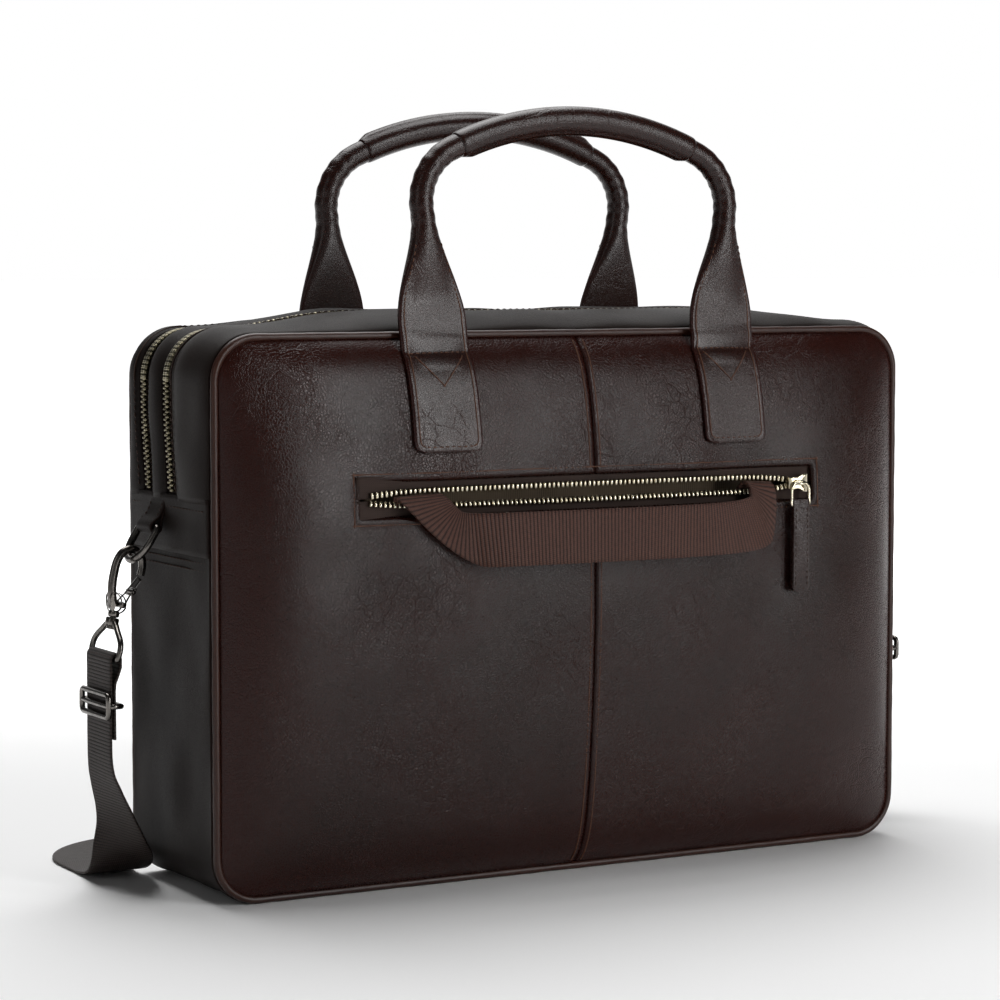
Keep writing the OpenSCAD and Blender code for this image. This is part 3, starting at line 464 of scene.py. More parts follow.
RED_EDGE = rgb(44, 14, 9)
panel_leather = material("panel_leather", GRAIN, rgb(22, 8, 5), rgb(40, 15, 9), (0.2, 0.32), 0.8, 0.12 * MM,
                         worn=RED_EDGE, specular=0.27)
handle_leather = material("handle_leather", GRAIN, rgb(22, 8, 5), rgb(40, 15, 9), (0.22, 0.34), 0.4, 0.1 * MM,
                          worn=RED_EDGE, settings={"Pebble": 900.0, "Crease": 1.6})
piping_leather = material("piping_leather", GRAIN, rgb(32, 13, 9), rgb(58, 31, 21), (0.28, 0.4), 0.3,
                          0.15 * MM,
                          worn=RED_EDGE, settings={"Pebble": 1100.0, "Crease": 0.4}, specular=0.36)
# Painted shade: the gusset bands, side anchor panels and chapes are the panels' own leather. Their colour and
# worn edge are painted darker and greyer for the shade that falls on the case's sides.
gusset_leather = material("gusset_leather", GRAIN, rgb(16, 10, 8), rgb(28, 19, 15), (0.5, 0.64), 0.3,
                          0.12 * MM,
                          worn=rgb(30, 15, 10), settings={"Pebble": 1300.0, "Crease": 0.8}, specular=0.15)
zip_tape = material("zip_tape", CLOTH, rgb(20, 12, 9), rgb(46, 29, 21), (0.75, 0.9), 0.5, 0.15 * MM)
lining_cloth = material("lining_cloth", CLOTH, rgb(74, 62, 48), rgb(112, 96, 76), (0.7, 0.85), 0.35,
                        0.12 * MM,
                        settings={"Threads": 1100.0, "Slant": 0.0}, sheen=0.2)
board = material("stiffener_board", CLOTH, rgb(40, 36, 32), rgb(60, 55, 50), (0.6, 0.8), 0.2, 0.1 * MM,
                 settings={"Threads": 500.0})
trolley_web = material("trolley_webbing", WEAVE, rgb(26, 12, 8), rgb(84, 50, 38), (0.55, 0.8), 0.9, 0.5 * MM,
                       tone=(0.25, 0.95))
shoulder_web = material("shoulder_webbing", WEAVE, rgb(14, 9, 7), rgb(42, 28, 21), (0.55, 0.8), 0.8,
                        0.45 * MM,
                        tone=(0.25, 0.95), settings={"Rib": 1.8 * MM})
gunmetal = material("gunmetal", WEAR, rgb(84, 81, 78), rgb(134, 129, 124), (0.16, 0.28), 0.08, 0.05 * MM,
                    metallic=1.0)
nickel = material("pale_nickel", WEAR, rgb(214, 204, 176), rgb(240, 232, 210), (0.14, 0.26), 0.06, 0.05 * MM,
                  metallic=1.0)
antique = material("antique_brass", WEAR, rgb(98, 92, 74), rgb(160, 152, 126), (0.26, 0.4), 0.1, 0.05 * MM,
                   metallic=1.0)
thread = material("tan_thread", CLOTH, rgb(52, 30, 19), rgb(88, 54, 35), (0.6, 0.8), 0.4, 0.1 * MM)
dark_thread = material("dark_thread", CLOTH, rgb(30, 17, 11), rgb(54, 34, 23), (0.6, 0.8), 0.4, 0.1 * MM)


# ------------------------------------------------------------------ swollen panels
def ripple(x, z, scale, amount, waves=18, seed=3):
    """Soft unevenness: a sum of sine waves in random directions with lengths near scale."""
    r = np.random.default_rng(seed)
    total = 0 * x
    for _ in range(waves):
        angle, phase = r.uniform(0, 2 * np.pi, 2)
        k = 2 * np.pi / (scale * r.uniform(0.6, 1.6))
        total = total + np.sin(k * (x * np.cos(angle) + z * np.sin(angle)) + phase)
    return amount * total / math.sqrt(waves)


def rise(s, reach):
    """Swell at distance s from a piped edge, 0 to 1: half a quick exponential, half a slow quarter sine."""
    s = np.maximum(s, 0)
    return 0.5 * (1 - np.exp(-s / (11 * MM))) + 0.5 * np.sin(np.pi / 2 * np.minimum(s / reach, 1))


class Panel:
    """One swollen leather panel: side -1 is the back, +1 the front. at(x, z) gives the points of its
    surface."""

    def __init__(self, side, crown, window):
        self.side, self.crown, self.window = side, crown, window

    def swell(self, x, z):
        """Product of the rises from the four edges, with soft vertical folds, a seam and the window's lip."""
        half = BODY_W / 2 - RIM_INSET
        sides = rise(half - np.abs(x), 92 * MM)
        ends = rise(BODY_H - RIM_INSET - z, 100 * MM) * rise(z - RIM_INSET, 150 * MM)
        full = np.clip(sides * ends, 0, 1)
        broad = ripple(x, z * 0.2, 105 * MM, 1.5 * MM, seed=5 + self.side)
        soft = broad + ripple(x, z, 40 * MM, 0.16 * MM, seed=8)
        y = self.crown * full + soft * full ** 2
        y = y - 0.7 * MM * np.exp(-(x / (1.0 * MM)) ** 2)
        y = y - 0.25 * MM * (np.exp(-((np.abs(x) - 3 * MM) / (0.8 * MM)) ** 2))
        lo, hi = self.window
        dx = np.maximum(np.abs(x) - WINDOW_W / 2, 0)
        dz = np.maximum(np.maximum(lo - z, z - hi), 0)
        d = np.hypot(dx, dz)
        y = y + 0.9 * MM * np.exp(-((d - 2.2 * MM) / (1.5 * MM)) ** 2) - 1.6 * MM * np.exp(-d / (0.9 * MM))
        return y - 0.35 * MM * np.exp(-((d - 4 * MM) / (0.7 * MM)) ** 2)

    def at(self, x, z, lift=0.0):
        """Points of the surface over (x, z), raised by lift along Y."""
        x, z = np.broadcast_arrays(np.asarray(x, float), np.asarray(z, float))
        return np.stack([x, self.side * (FACE_Y - 1.4 * MM + self.swell(x, z) + lift), z], -1)

    def normal(self, x, z):
        """Outward unit normals of the surface, from its slopes over half a millimetre."""
        e = 0.5 * MM
        return self.side * unit(np.cross(self.at(x + e, z) - self.at(x - e, z),
                                         self.at(x, z + e) - self.at(x, z - e))) * -1

    def grid(self, x0, x1, step=1.7 * MM):
        """Grid over the panel between x0 and x1, with lines on the window's edges and rounded corners."""
        half, top = BODY_W / 2 - RIM_INSET, BODY_H - RIM_INSET
        r = CORNER_R - RIM_INSET
        lo, hi = self.window

        def lines(marks):
            """Marks with even steps between them, none longer than about one step."""
            marks = sorted(marks)
            runs = [np.linspace(a, b, max(2, int(round((b - a) / step)) + 1))[:-1] for a,
                    b in zip(marks, marks[1:])]
            return np.concatenate(runs + [[marks[-1]]])

        inner = [m for m in (-WINDOW_W / 2, WINDOW_W / 2, -half + r, half - r) if x0 < m < x1]
        xs = lines([x0, x1] + inner)
        zs = lines([RIM_INSET, RIM_INSET + r, lo, hi, top - r, top])
        x, z = np.meshgrid(xs, zs, indexing="ij")
        y = self.swell(x, z)
        a = np.clip((np.abs(x) - (half - r)) / r, 0, 1)
        b = np.clip(np.maximum(RIM_INSET + r - z, z - (top - r)) / r, 0, 1)
        round_x = np.sign(x) * (np.minimum(np.abs(x), half - r) + r * a * np.sqrt(1 - b * b / 2))
        middle_z = np.clip(z, RIM_INSET + r, top - r)
        round_z = middle_z + np.sign(z - middle_z) * r * b * np.sqrt(1 - a * a / 2)
        points = np.stack([round_x, self.side * (FACE_Y - 1.4 * MM + y), round_z], -1)
        mid_x, mid_z = (xs[1:] + xs[:-1]) / 2, (zs[1:] + zs[:-1]) / 2
        keep = ~((np.abs(mid_x)[:, None] < WINDOW_W / 2) & (mid_z > lo) & (mid_z < hi))
        edge = np.minimum(half - np.abs(x), np.minimum(z - RIM_INSET, top - z))
        worn = 0.75 * np.exp(-np.maximum(edge, 0) / (16 * MM)) + 0.25 * np.exp(-np.abs(x) / (5 * MM))
        if self.side > 0:
            points, keep, worn = points[::-1], keep[::-1], worn[::-1]
        return points, keep, np.clip(worn, 0, 1)


back = Panel(-1, BACK_CROWN, (WINDOW_LO, WINDOW_HI))
front = Panel(1, FRONT_CROWN, (FRONT_WIN_LO, FRONT_WIN_HI))
FLAP_FOLD = ("case", "front_flap", (0, 0, ZIP_END_Z - 12 * MM), (0, 0, ZIP_END_Z + 14 * MM))
MIDDLE_FOLD = ("case", "middle_section", (0, 0, ZIP_END_Z - 2 * MM), (0, 0, ZIP_END_Z + 14 * MM))
FRONT_BAND_FOLD = ("case", "front_flap", (0, 0, ZIP_END_Z - 2 * MM), (0, 0, ZIP_END_Z + 14 * MM))


def make_panel(name, panel, x0, x1, nodes, blend=None):
    """A leather panel with its window, lined on the inside."""
    points, keep, worn = panel.grid(x0, x1)
    verts, faces, inside = shell(points, 1.5 * MM, keep)
    piece(name, (verts, faces), panel_leather, "case", nodes, blend=blend, inside=inside,
          lining=lining_cloth, burnish=np.concatenate([worn.ravel()] * 2))


make_panel("back_leather_left", back, -(BODY_W / 2 - RIM_INSET), -0.15 * MM, ["back_panel_left"])
make_panel("back_leather_right", back, 0.15 * MM, BODY_W / 2 - RIM_INSET, ["back_panel_right"])
make_panel("front_leather", front, -(BODY_W / 2 - RIM_INSET), BODY_W / 2 - RIM_INSET,
           ["front_panel_lower", "front_panel_upper"], blend=FLAP_FOLD)


# ------------------------------------------------------------------ outline of the body, piping and gusset
def outline(z0, z1, inset=0.0, step=3 * MM, over=True):
    """Stations along the rounded outline: an arch from z0 on the left over the top to z0 on the right, or with
    over False a trough from z1 down under the bottom and up. Each row is x, z, then the outward normal."""
    w, r = BODY_W / 2 - inset, CORNER_R - inset
    a = np.linspace(0, np.pi / 2, 16)
    z_end, z_arc = (z0, BODY_H - CORNER_R) if over else (z1, CORNER_R)
    side = np.linspace(z_end, z_arc, max(2, int(abs(z_arc - z_end) / step)))[:-1]
    flat = np.linspace(-(w - r), w - r, int(2 * (w - r) / step))[1:-1]
    sign = 1 if over else -1
    level = BODY_H - inset if over else inset
    rows = [np.stack([-w + 0 * side, side, -1 + 0 * side, 0 * side], -1),
            np.stack([-(w - r) - r * np.cos(a), z_arc + sign * r * np.sin(a), -np.cos(a), sign * np.sin(a)],
                     -1),
            np.stack([flat, level + 0 * flat, 0 * flat, sign + 0 * flat], -1)]
    right = np.concatenate(rows[:2])[::-1] * [-1, 1, -1, 1]
    return np.concatenate(rows + [right])


def outline_loop(inset, n=24):
    """Closed rounded rectangle: x, z and outward normal, anticlockwise from the right side."""
    w, h, r = BODY_W / 2 - CORNER_R, BODY_H / 2 - CORNER_R, CORNER_R - inset
    a = np.linspace(0, np.pi / 2, n)
    rows = []
    for k, (cx, cz) in enumerate(((w, h), (-w, h), (-w, -h), (w, -h))):
        t = a + k * np.pi / 2
        rows.append(np.stack([cx + r * np.cos(t), BODY_H / 2 + cz + r * np.sin(t), np.cos(t), np.sin(t)], -1))
    return np.concatenate(rows)


def piping(name, side, nodes, blend=None):
    """Leather cord along the panel's edge, pinched a little where it was sewn."""
    loop = outline_loop(2.15 * MM)
    path = np.stack([loop[:, 0], np.full(len(loop), side * (FACE_Y - 1.6 * MM)), loop[:, 1]], -1)
    path, at = resampled(np.concatenate([path, path[:1]]), 2.2 * MM)
    path, at = path[:-1], at[:-1]
    radius = 1.95 * MM + 0.06 * MM * np.sin(at / (7 * MM)) + 0.05 * MM * np.sin(at / (2.3 * MM))
    piece(name, tube(path, radius, (0, 1, 0), 14, closed=True), piping_leather, "case",
          nodes,
          blend=blend)


piping("back_piping_cord", -1, ["back_piping"])
piping("front_piping_cord", 1, ["front_piping_upper", "front_piping_lower"], blend=FLAP_FOLD)


def smooth(value, low, high):
    """Smoothstep of value from low to high."""
    t = np.clip((np.asarray(value, float) - low) / (high - low), 0, 1)
    return t * t * (3 - 2 * t)


def puff(rows, y):
    """How far the stuffed case swells out at the outline's stations: the top domes up, the sides stay
    flat."""
    inboard = smooth(-np.abs(rows[:, 0]), -184 * MM, -110 * MM)
    on_top = smooth(rows[:, 1], BODY_H - 6 * MM, BODY_H - 0.5 * MM) * inboard
    return 8.5 * MM * on_top[:, None] * np.clip(1 - (y / GUSSET_Y) ** 2, 0, 1) ** 0.8


def drift(rows):
    """The zips wander towards the front as they climb the left side."""
    climb = smooth(rows[:, 1], ZIP_END_Z, ZIP_END_Z + 46 * MM)
    return 5 * MM * climb * smooth(-rows[:, 0], 0, BODY_W / 2)


def band_points(rows, y0, y1, bulge, edge_in, n=20, seed=1):
    """Grid over a band: the outline's stations by n values of Y between its edges, swollen along the
    normals."""
    v = np.linspace(-1, 1, n)
    across = np.sin(v * np.pi / 2)
    low = y0 + drift(rows) * (abs(y0) < GUSSET_Y * 0.99)
    high = y1 + drift(rows) * (abs(y1) < GUSSET_Y * 0.99)
    y = (low + high)[:, None] / 2 + (high - low)[:, None] / 2 * across
    s = np.concatenate([[0], np.cumsum(np.linalg.norm(np.diff(rows[:, :2], axis=0), axis=1))])
    soft = ripple(np.broadcast_to(s[:, None], y.shape), y * 1.5, 60 * MM, 0.45 * MM, seed=seed) * (1 - v ** 4)
    lift = bulge * (1 - np.abs(across) ** 2.6) - edge_in * np.abs(v) ** 12 + soft + puff(rows, y)
    return np.stack([rows[:, None, 0] + rows[:, None, 2] * lift, y,
                     rows[:, None, 1] + rows[:, None, 3] * lift], -1)


def gusset(name, rows, y0, y1, nodes, blend=None, bulge=1.0 * MM, thickness=2.2 * MM, flip=False, seed=1,
           edge_in=0.9 * MM):
    """One leather band of the gusset, lined on the inside."""
    points = band_points(rows, y0, y1, bulge, edge_in, seed=seed)
    if flip:
        points = points[::-1]
    verts, faces, inside = shell(points, thickness)
    v = np.linspace(-1, 1, points.shape[1])
    worn = np.broadcast_to(0.8 * np.abs(v) ** 10, points.shape[:2]).ravel()
    # The gusset's darker leather colour is painted shade.
    piece(name, (verts, faces), gusset_leather, "case", nodes, blend=blend, inside=inside,
          lining=lining_cloth, burnish=np.concatenate([worn, worn]))


TOP = outline(ZIP_END_Z - 1.5 * MM, None)
(rear0, rear1), (mid0, mid1), (front0, front1) = BAND_EDGES
gusset("rear_band_leather", TOP, rear0, rear1, ["rear_band"], bulge=2.6 * MM, seed=21, edge_in=1.4 * MM)
gusset("middle_band_leather", TOP, mid0, mid1, ["middle_band"], blend=MIDDLE_FOLD, bulge=1.8 * MM, seed=22,
       edge_in=1.2 * MM)
gusset("front_band_leather", TOP, front0, front1, ["front_band"], blend=FRONT_BAND_FOLD, bulge=1.8 * MM,
       seed=23,
       edge_in=1.4 * MM)
gusset("bottom_gusset_leather", outline(None, ANCHOR_Z + 1 * MM, over=False), -GUSSET_Y, GUSSET_Y,
       ["bottom_gusset"],
       bulge=-1.0 * MM, flip=True, seed=24, edge_in=0.0)


def side_rows(side, z0, z1, inset=0.0, n=12):
    """Straight stations up one side, from z0 to z1."""
    z = np.linspace(z0, z1, n)
    one = np.ones(n)
    return np.stack([side * (BODY_W / 2 - inset) * one, z, side * one, 0 * one], -1)


for side, label in ((-1, "left"), (1, "right")):
    gusset(label + "_anchor_leather", side_rows(side, ANCHOR_Z - 1 * MM, ZIP_END_Z + 1 * MM, -0.9 * MM),
           -GUSSET_Y,
           GUSSET_Y, [label + "_anchor_panel"], bulge=0.2 * MM, flip=side > 0, seed=25 + side,
           thickness=3 * MM)


# ------------------------------------------------------------------ stitches
def stitches(path, normal, pitch=3.8 * MM, length=2.9 * MM, radius=0.42 * MM, lift=0.1 * MM):
    """Row of stitches: each a small capsule of six sides and five rings that dips into the leather at
    its ends."""
    path, normal = np.asarray(path, float), np.asarray(normal, float)
    both, _ = resampled(np.concatenate([path, np.broadcast_to(normal, path.shape)], -1), pitch)
    centre, up = both[:-1, :3] + np.diff(both[:, :3], axis=0) / 2, unit(both[:-1, 3:])
    along = unit(np.diff(both[:, :3], axis=0))
    side = unit(np.cross(along, up))
    up = np.cross(side, along)
    t = np.linspace(-1, 1, 5)
    size = np.array([0.35, 0.85, 1.0, 0.85, 0.35]) * radius
    drop = lift - 0.55 * radius * 2 * t ** 2
    ring = circle(1.0, 6)
    place = (centre[:, None, None] + along[:, None, None] * (t * length / 2)[None, :, None, None]
             + side[:, None, None] * (size[:, None] * ring[:, 0])[None, ..., None]
             + up[:, None, None] * (size[:, None] * ring[:, 1] + drop[:, None])[None, ..., None])
    n = len(centre)
    i, j = np.meshgrid(np.arange(4), np.arange(6), indexing="ij")
    l = (j + 1) % 6
    body = np.stack([i * 6 + j, i * 6 + l, (i + 1) * 6 + l, (i + 1) * 6 + j], -1).reshape(-1, 4)
    caps = np.array([[0, 3, 2, 1], [0, 5, 4, 3], [24, 25, 26, 27], [24, 27, 28, 29]])
    faces = np.concatenate([body[:, ::-1], caps[:, ::-1]])
    return place.reshape(-1, 3), (faces[None] + 30 * np.arange(n)[:, None, None]).reshape(-1, 4)


def panel_row(panel, xz, lift=0.1 * MM, **kw):
    """Stitches along (x, z) points on a panel."""
    xz, _ = resampled(xz, 1.5 * MM)
    return stitches(panel.at(xz[:, 0], xz[:, 1]), panel.normal(xz[:, 0], xz[:, 1]), lift=lift, **kw)


def frame_rows(panel, lo, hi, out=4 * MM):
    """The four rows round a pocket window, out beyond its edges."""
    w = WINDOW_W / 2 + out
    a, b = lo - out, hi + out
    return [panel_row(panel, line) for line in ([(-w, a), (w, a)], [(-w, b), (w, b)], [(-w, a), (-w, b)],
                                                [(w, a), (w, b)])]


seam_rows = [panel_row(back, [(s * 3 * MM, z0), (s * 3 * MM, z1)]) for s in (-1, 1)
             for z0, z1 in ((6 * MM, WINDOW_LO - 5 * MM), (WINDOW_HI + 5 * MM, BODY_H - 6 * MM))]
piece("back_stitching", merged(seam_rows + frame_rows(back, WINDOW_LO, WINDOW_HI)), thread, "case")
front_low = [panel_row(front, [(s * 3 * MM, z0), (s * 3 * MM, z1)]) for s in (-1, 1)
             for z0, z1 in ((6 * MM, FRONT_WIN_LO - 5 * MM), (FRONT_WIN_HI + 5 * MM, BODY_H - 6 * MM))]
piece("front_stitching", merged(front_low + frame_rows(front, FRONT_WIN_LO, FRONT_WIN_HI)), thread, "case",
      blend=FLAP_FOLD)



def side_row(side, z, lift, y0=-GUSSET_Y + 4 * MM, y1=GUSSET_Y - 4 * MM):
    """Stitches straight across one side of the gusset at height z."""
    y, _ = resampled([(y0,), (y1,)], 2 * MM)
    path = np.concatenate([np.full_like(y, side * (BODY_W / 2 + lift)), y, np.full_like(y, z)], -1)
    return stitches(path, np.broadcast_to([side, 0.0, 0.0], path.shape))


rows = [side_row(s, ANCHOR_Z - d, -0.5 * MM) for s in (-1, 1) for d in (4 * MM, 8 * MM)]
piece("side_stitching", merged(rows + [side_row(s, ZIP_END_Z - 5 * MM, 1.1 * MM) for s in (-1, 1)]),
      dark_thread, "case")


# ------------------------------------------------------------------ main zips
TOOTH_PITCH = 2.6 * MM
TEETH_START_Z = ZIP_END_Z + 14 * MM
LEFT_TEETH_Z = ZIP_END_Z + 3 * MM
TAPE_INSET = 1.0 * MM


def on_outline(rows, y, lift):
    """Points over the outline's stations at depth y, lift above the swollen surface, and their outward
    normals."""
    y = np.broadcast_to(y, (len(rows),)) + drift(rows)
    out = lift + puff(rows, y[:, None])[:, 0]
    points = np.stack([rows[:, 0] + rows[:, 2] * out, y, rows[:, 1] + rows[:, 3] * out], -1)
    normal = np.stack([rows[:, 2], 0 * y, rows[:, 3]], -1)
    return points, normal


def tooth_shape(length, width, height):
    """One zip tooth: a rounded bar with a chamfered top, as rings of eight points climbing along z."""
    rings = [(1.0, 0.0), (1.0, 0.55), (0.86, 0.9), (0.55, 1.0)]
    flat = rounded_box(width / 2, length / 2, 8, 5.0)
    points = np.concatenate([np.concatenate([flat * k, np.full((8, 1), h * height)], -1) for k, h in rings])
    i, j = np.meshgrid(np.arange(3), np.arange(8), indexing="ij")
    l = (j + 1) % 8
    walls = np.stack([i * 8 + j, i * 8 + l, (i + 1) * 8 + l, (i + 1) * 8 + j], -1).reshape(-1, 4)
    ends = np.array([[2, 1, 0, 7], [3, 2, 7, 6], [4, 3, 6, 5], [24, 25, 26, 31], [31, 26, 27, 30],
                     [30, 27, 28, 29]])
    return points, np.concatenate([walls, ends])


def teeth(centre, along, up, length, width, height):
    """A tooth at each centre: along is the direction of the chain, up is away from the tape."""
    points, faces = tooth_shape(length, width, height)
    side = np.cross(up, along)
    verts = (centre[:, None] + along[:, None] * points[None, :, :1] + side[:, None] * points[None, :, 1:2]
             + up[:, None] * points[None, :, 2:])
    n = len(points)
    return verts.reshape(-1, 3), (faces[None] + n * np.arange(len(centre))[:, None, None]).reshape(-1, 4)


def zip_rows(z_left, z_right, step):
    """The outline's stations between the two ends of a zip, cut into equal steps."""
    rows = outline(min(z_left, z_right), None, step=1 * MM)
    keep = np.where(rows[:, 0] < 0, rows[:, 1] >= z_left - 0.1 * MM, rows[:, 1] >= z_right - 0.1 * MM)
    return resampled(rows[keep], step)[0]


def main_zip(zip_y, label, parts):
    """Two tapes and two rows of interlocking teeth. parts holds, for each side, the nodes and the blend."""
    for side, (tape_node, teeth_node, blend) in parts.items():
        rows = zip_rows(ZIP_END_Z, ZIP_END_Z, 3 * MM)
        edge, middle = zip_y + side * 6.6 * MM, zip_y + side * 0.2 * MM
        v = np.linspace(0, 1, 7)
        y = edge + (middle - edge) * v if side < 0 else middle + (edge - middle) * v
        sag = 0.5 * MM * np.sin(v * np.pi)
        columns = [on_outline(rows, yy, -TAPE_INSET - d)[0] for yy, d in zip(y, sag)]
        verts, faces, _ = shell(np.stack(columns, 1), 0.9 * MM)
        piece(label + "_tape_" + ("rear" if side < 0 else "front"), (verts, faces), zip_tape, "case",
              [tape_node], blend=blend)
        rows = zip_rows(LEFT_TEETH_Z, TEETH_START_Z, TOOTH_PITCH)
        if side > 0:
            rows = (rows[1:] + rows[:-1]) / 2
        centre, normal = on_outline(rows, zip_y + side * 1.35 * MM, -TAPE_INSET - 0.1 * MM)
        piece(label + "_teeth_" + ("rear" if side < 0 else "front"),
              teeth(centre, tangents(centre), unit(normal), 3.1 * MM, 1.55 * MM, 2.1 * MM), antique, "case",
              [teeth_node], blend=blend)


main_zip(REAR_ZIP_Y, "rear_zip", {-1: ("rear_zip_tape_outer", "rear_zip_teeth_outer", None),
                                  1: ("rear_zip_tape_inner", "rear_zip_teeth_inner", MIDDLE_FOLD)})
main_zip(FRONT_ZIP_Y, "front_zip", {-1: ("front_zip_tape_inner", "front_zip_teeth_inner", MIDDLE_FOLD),
                                    1: ("front_zip_tape_outer", "front_zip_teeth_outer", FRONT_BAND_FOLD)})
for label, y, blend in (("rear", rear1 - 2.6 * MM, None), ("front", front0 + 2.6 * MM, FRONT_BAND_FOLD)):
    path, normal = on_outline(zip_rows(ZIP_END_Z + 3 * MM, ZIP_END_Z + 3 * MM, 2 * MM), y, 1.55 * MM)
    piece(label + "_band_stitching", stitches(path, normal), dark_thread, "case",
          blend=blend)


# ------------------------------------------------------------------ handles
joints = {j["name"]: j for j in frame["record"]["behaviour"]["joints"]}


def joint_place(name):
    """Place of a joint in metres."""
    return np.array(joints[name]["pos_m"], float)


HANDLE_X = 86 * MM
LEG_TILT = math.radians(4)
LEAN = math.radians(2.8)
ROLL_R = 6.1 * MM
TAB_HALF = 19 * MM
TAB_T = 1.3 * MM
TAB_BOTTOM = BODY_H - 60 * MM
BEND = (60.54 * MM, 61.75 * MM, 30 * MM)
GRIP = (-68.07 * MM, 173.24 * MM)
BEND_END = math.radians(65)


class Handle:
    """One handle: two tabs draped over a panel, flaring legs and a round grip, as one loft."""

    def __init__(self, side, panel, foot):
        self.side, self.panel = side, panel
        low = np.concatenate([TAB_BOTTOM + np.array([0, 4, 10, 18, 26, 34, 42]) * MM, [BODY_H - 11 * MM]])
        tab = panel.at(HANDLE_X - 0.5 * MM, low, TAB_T)
        neck = np.array([[HANDLE_X, side * (FACE_Y + 5.9 * MM), BODY_H - 4.5 * MM],
                         [HANDLE_X, side * (FACE_Y + 4.9 * MM), BODY_H + 1 * MM]])
        up = np.array([6, 14, 24, 34, 44, 54]) * MM
        leg = np.stack([HANDLE_X + np.sin(LEG_TILT) * up, np.cos(LEG_TILT) * up], -1)
        a = np.linspace(-LEG_TILT, BEND_END, 9)
        bend = np.stack([BEND[0] + BEND[2] * np.cos(a), BEND[1] + BEND[2] * np.sin(a)], -1)
        a = np.linspace(BEND_END, np.pi / 2, 9)[1:]
        grip = np.stack([GRIP[1] * np.cos(a), GRIP[0] + GRIP[1] * np.sin(a)], -1)
        flat = np.concatenate([leg, bend, grip])
        roll = np.stack([flat[:, 0], foot[1] - side * np.sin(LEAN) * flat[:, 1],
                         foot[2] + np.cos(LEAN) * flat[:, 1]], -1)
        half = np.concatenate([tab, neck, roll])
        full = np.concatenate([half, half[-2::-1] * [-1, 1, 1]])
        self.path, self.s = resampled(bowed(full, 12), 1.5 * MM)
        self.length = self.s[-1]
        t = tangents(self.path)
        self.out = unit(np.array([0, side, 0]) - t * t[:, 1:2] * side)
        self.across = np.cross(t, self.out)

    def along(self, s, values):
        """Rows of values, one for each station of the path, read at distances s."""
        return np.stack([np.interp(s, self.s, values[:, k]) for k in range(3)], -1)

    def sizes(self, s, z):
        """Half width, half thickness, squareness and flare of the section at distance s and height z."""
        end = np.minimum(s, self.length - s)
        flare = 1 - smooth(z, BODY_H + 4 * MM, BODY_H + 57 * MM)
        half = ROLL_R + (TAB_HALF - ROLL_R) * flare
        r = 5 * MM
        half = half - r + np.sqrt(np.maximum(r * r - np.maximum(r - end, 0) ** 2, 1e-12))
        thick = TAB_T + (ROLL_R - TAB_T) * smooth(z, BODY_H - 1 * MM, BODY_H + 50 * MM)
        creases = 1 + 0.03 * np.sin(end / (1.1 * MM)) * smooth(z, BODY_H + 40 * MM, BODY_H + 60 * MM) \
            * (1 - smooth(z, BODY_H + 82 * MM, BODY_H + 94 * MM))
        return half * creases, thick * creases, 2 + 4 * flare, flare

    def bulge(self, a, z):
        """Padding that shows through the tab above the V of stitches, and the ridge up the flare."""
        v_half = np.maximum(z - (TAB_BOTTOM + 33 * MM), 0) * 0.95
        pad = 1.7 * MM * np.clip(1 - np.abs(a) / np.maximum(v_half, 0.1 * MM), 0, 1) ** 0.7
        pad = pad * (1 - smooth(z, BODY_H - 8 * MM, BODY_H + 4 * MM))
        pad = pad * smooth(z, TAB_BOTTOM + 33 * MM, TAB_BOTTOM + 42 * MM)
        seam = -0.5 * MM * np.exp(-((z - (BODY_H - 11 * MM)) / (1.1 * MM)) ** 2)
        return pad + seam

    def shape(self, s, z, a, cap):
        """Height over the centre line of a section's outer side, where cap is 1 in the middle and 0 at
        the edge."""
        half, thick, _, flare = self.sizes(s, z)
        core = 1 + flare * (0.3 + 0.7 * np.exp(-(a / (7.5 * MM)) ** 2) - 1) * smooth(thick, TAB_T, 3 * MM)
        rim = 0.35 * MM * flare * np.exp(-((half - np.abs(a) - 1.2 * MM) / (1.0 * MM)) ** 2)
        return thick * core * cap + (self.bulge(a, z) + rim) * np.sign(cap) * np.abs(cap) ** 0.3

    def place(self, s, a, b):
        """Points at distance s, a across and b out: on the panel below the neck, on the sweep above it."""
        centre, across, out = (self.along(s, values) for values in (self.path, self.across, self.out))
        swept = centre + across * a[..., None] + out * b[..., None]
        draped = self.panel.at(centre[..., 0] + across[..., 0] * a, centre[..., 2], TAB_T + b)
        w = (1 - smooth(centre[..., 2], BODY_H - 16 * MM, BODY_H - 4 * MM))[..., None]
        return draped * w + swept * (1 - w)

    def loft(self, sides=44):
        """The whole handle as rings of points."""
        theta = (np.arange(sides) + 0.5) * 2 * np.pi / sides
        s = self.s[:, None] + 0 * theta
        z = self.path[:, 2][:, None] + 0 * theta
        half, _, power, _ = self.sizes(s, z)
        c, n = np.cos(theta), np.sin(theta)
        a = half * np.sign(c) * np.abs(c) ** (2 / power)
        cap = np.sign(n) * np.abs(n) ** (2 / power)
        b = np.where(cap > 0, self.shape(s, z, a, cap), self.sizes(s, z)[1] * cap)
        rings = self.place(s, a, b)
        worn = 0.8 * np.exp(-(half - np.abs(a)) / (2.2 * MM)) * smooth(power, 2.5, 5)
        verts = np.concatenate([rings.reshape(-1, 3), rings[:1].mean(1), rings[-1:].mean(1)])
        faces = np.concatenate([walls(len(self.s), sides), lids(len(self.s), sides)])
        return verts, faces, np.concatenate([worn.ravel(), [0.5, 0.5]])

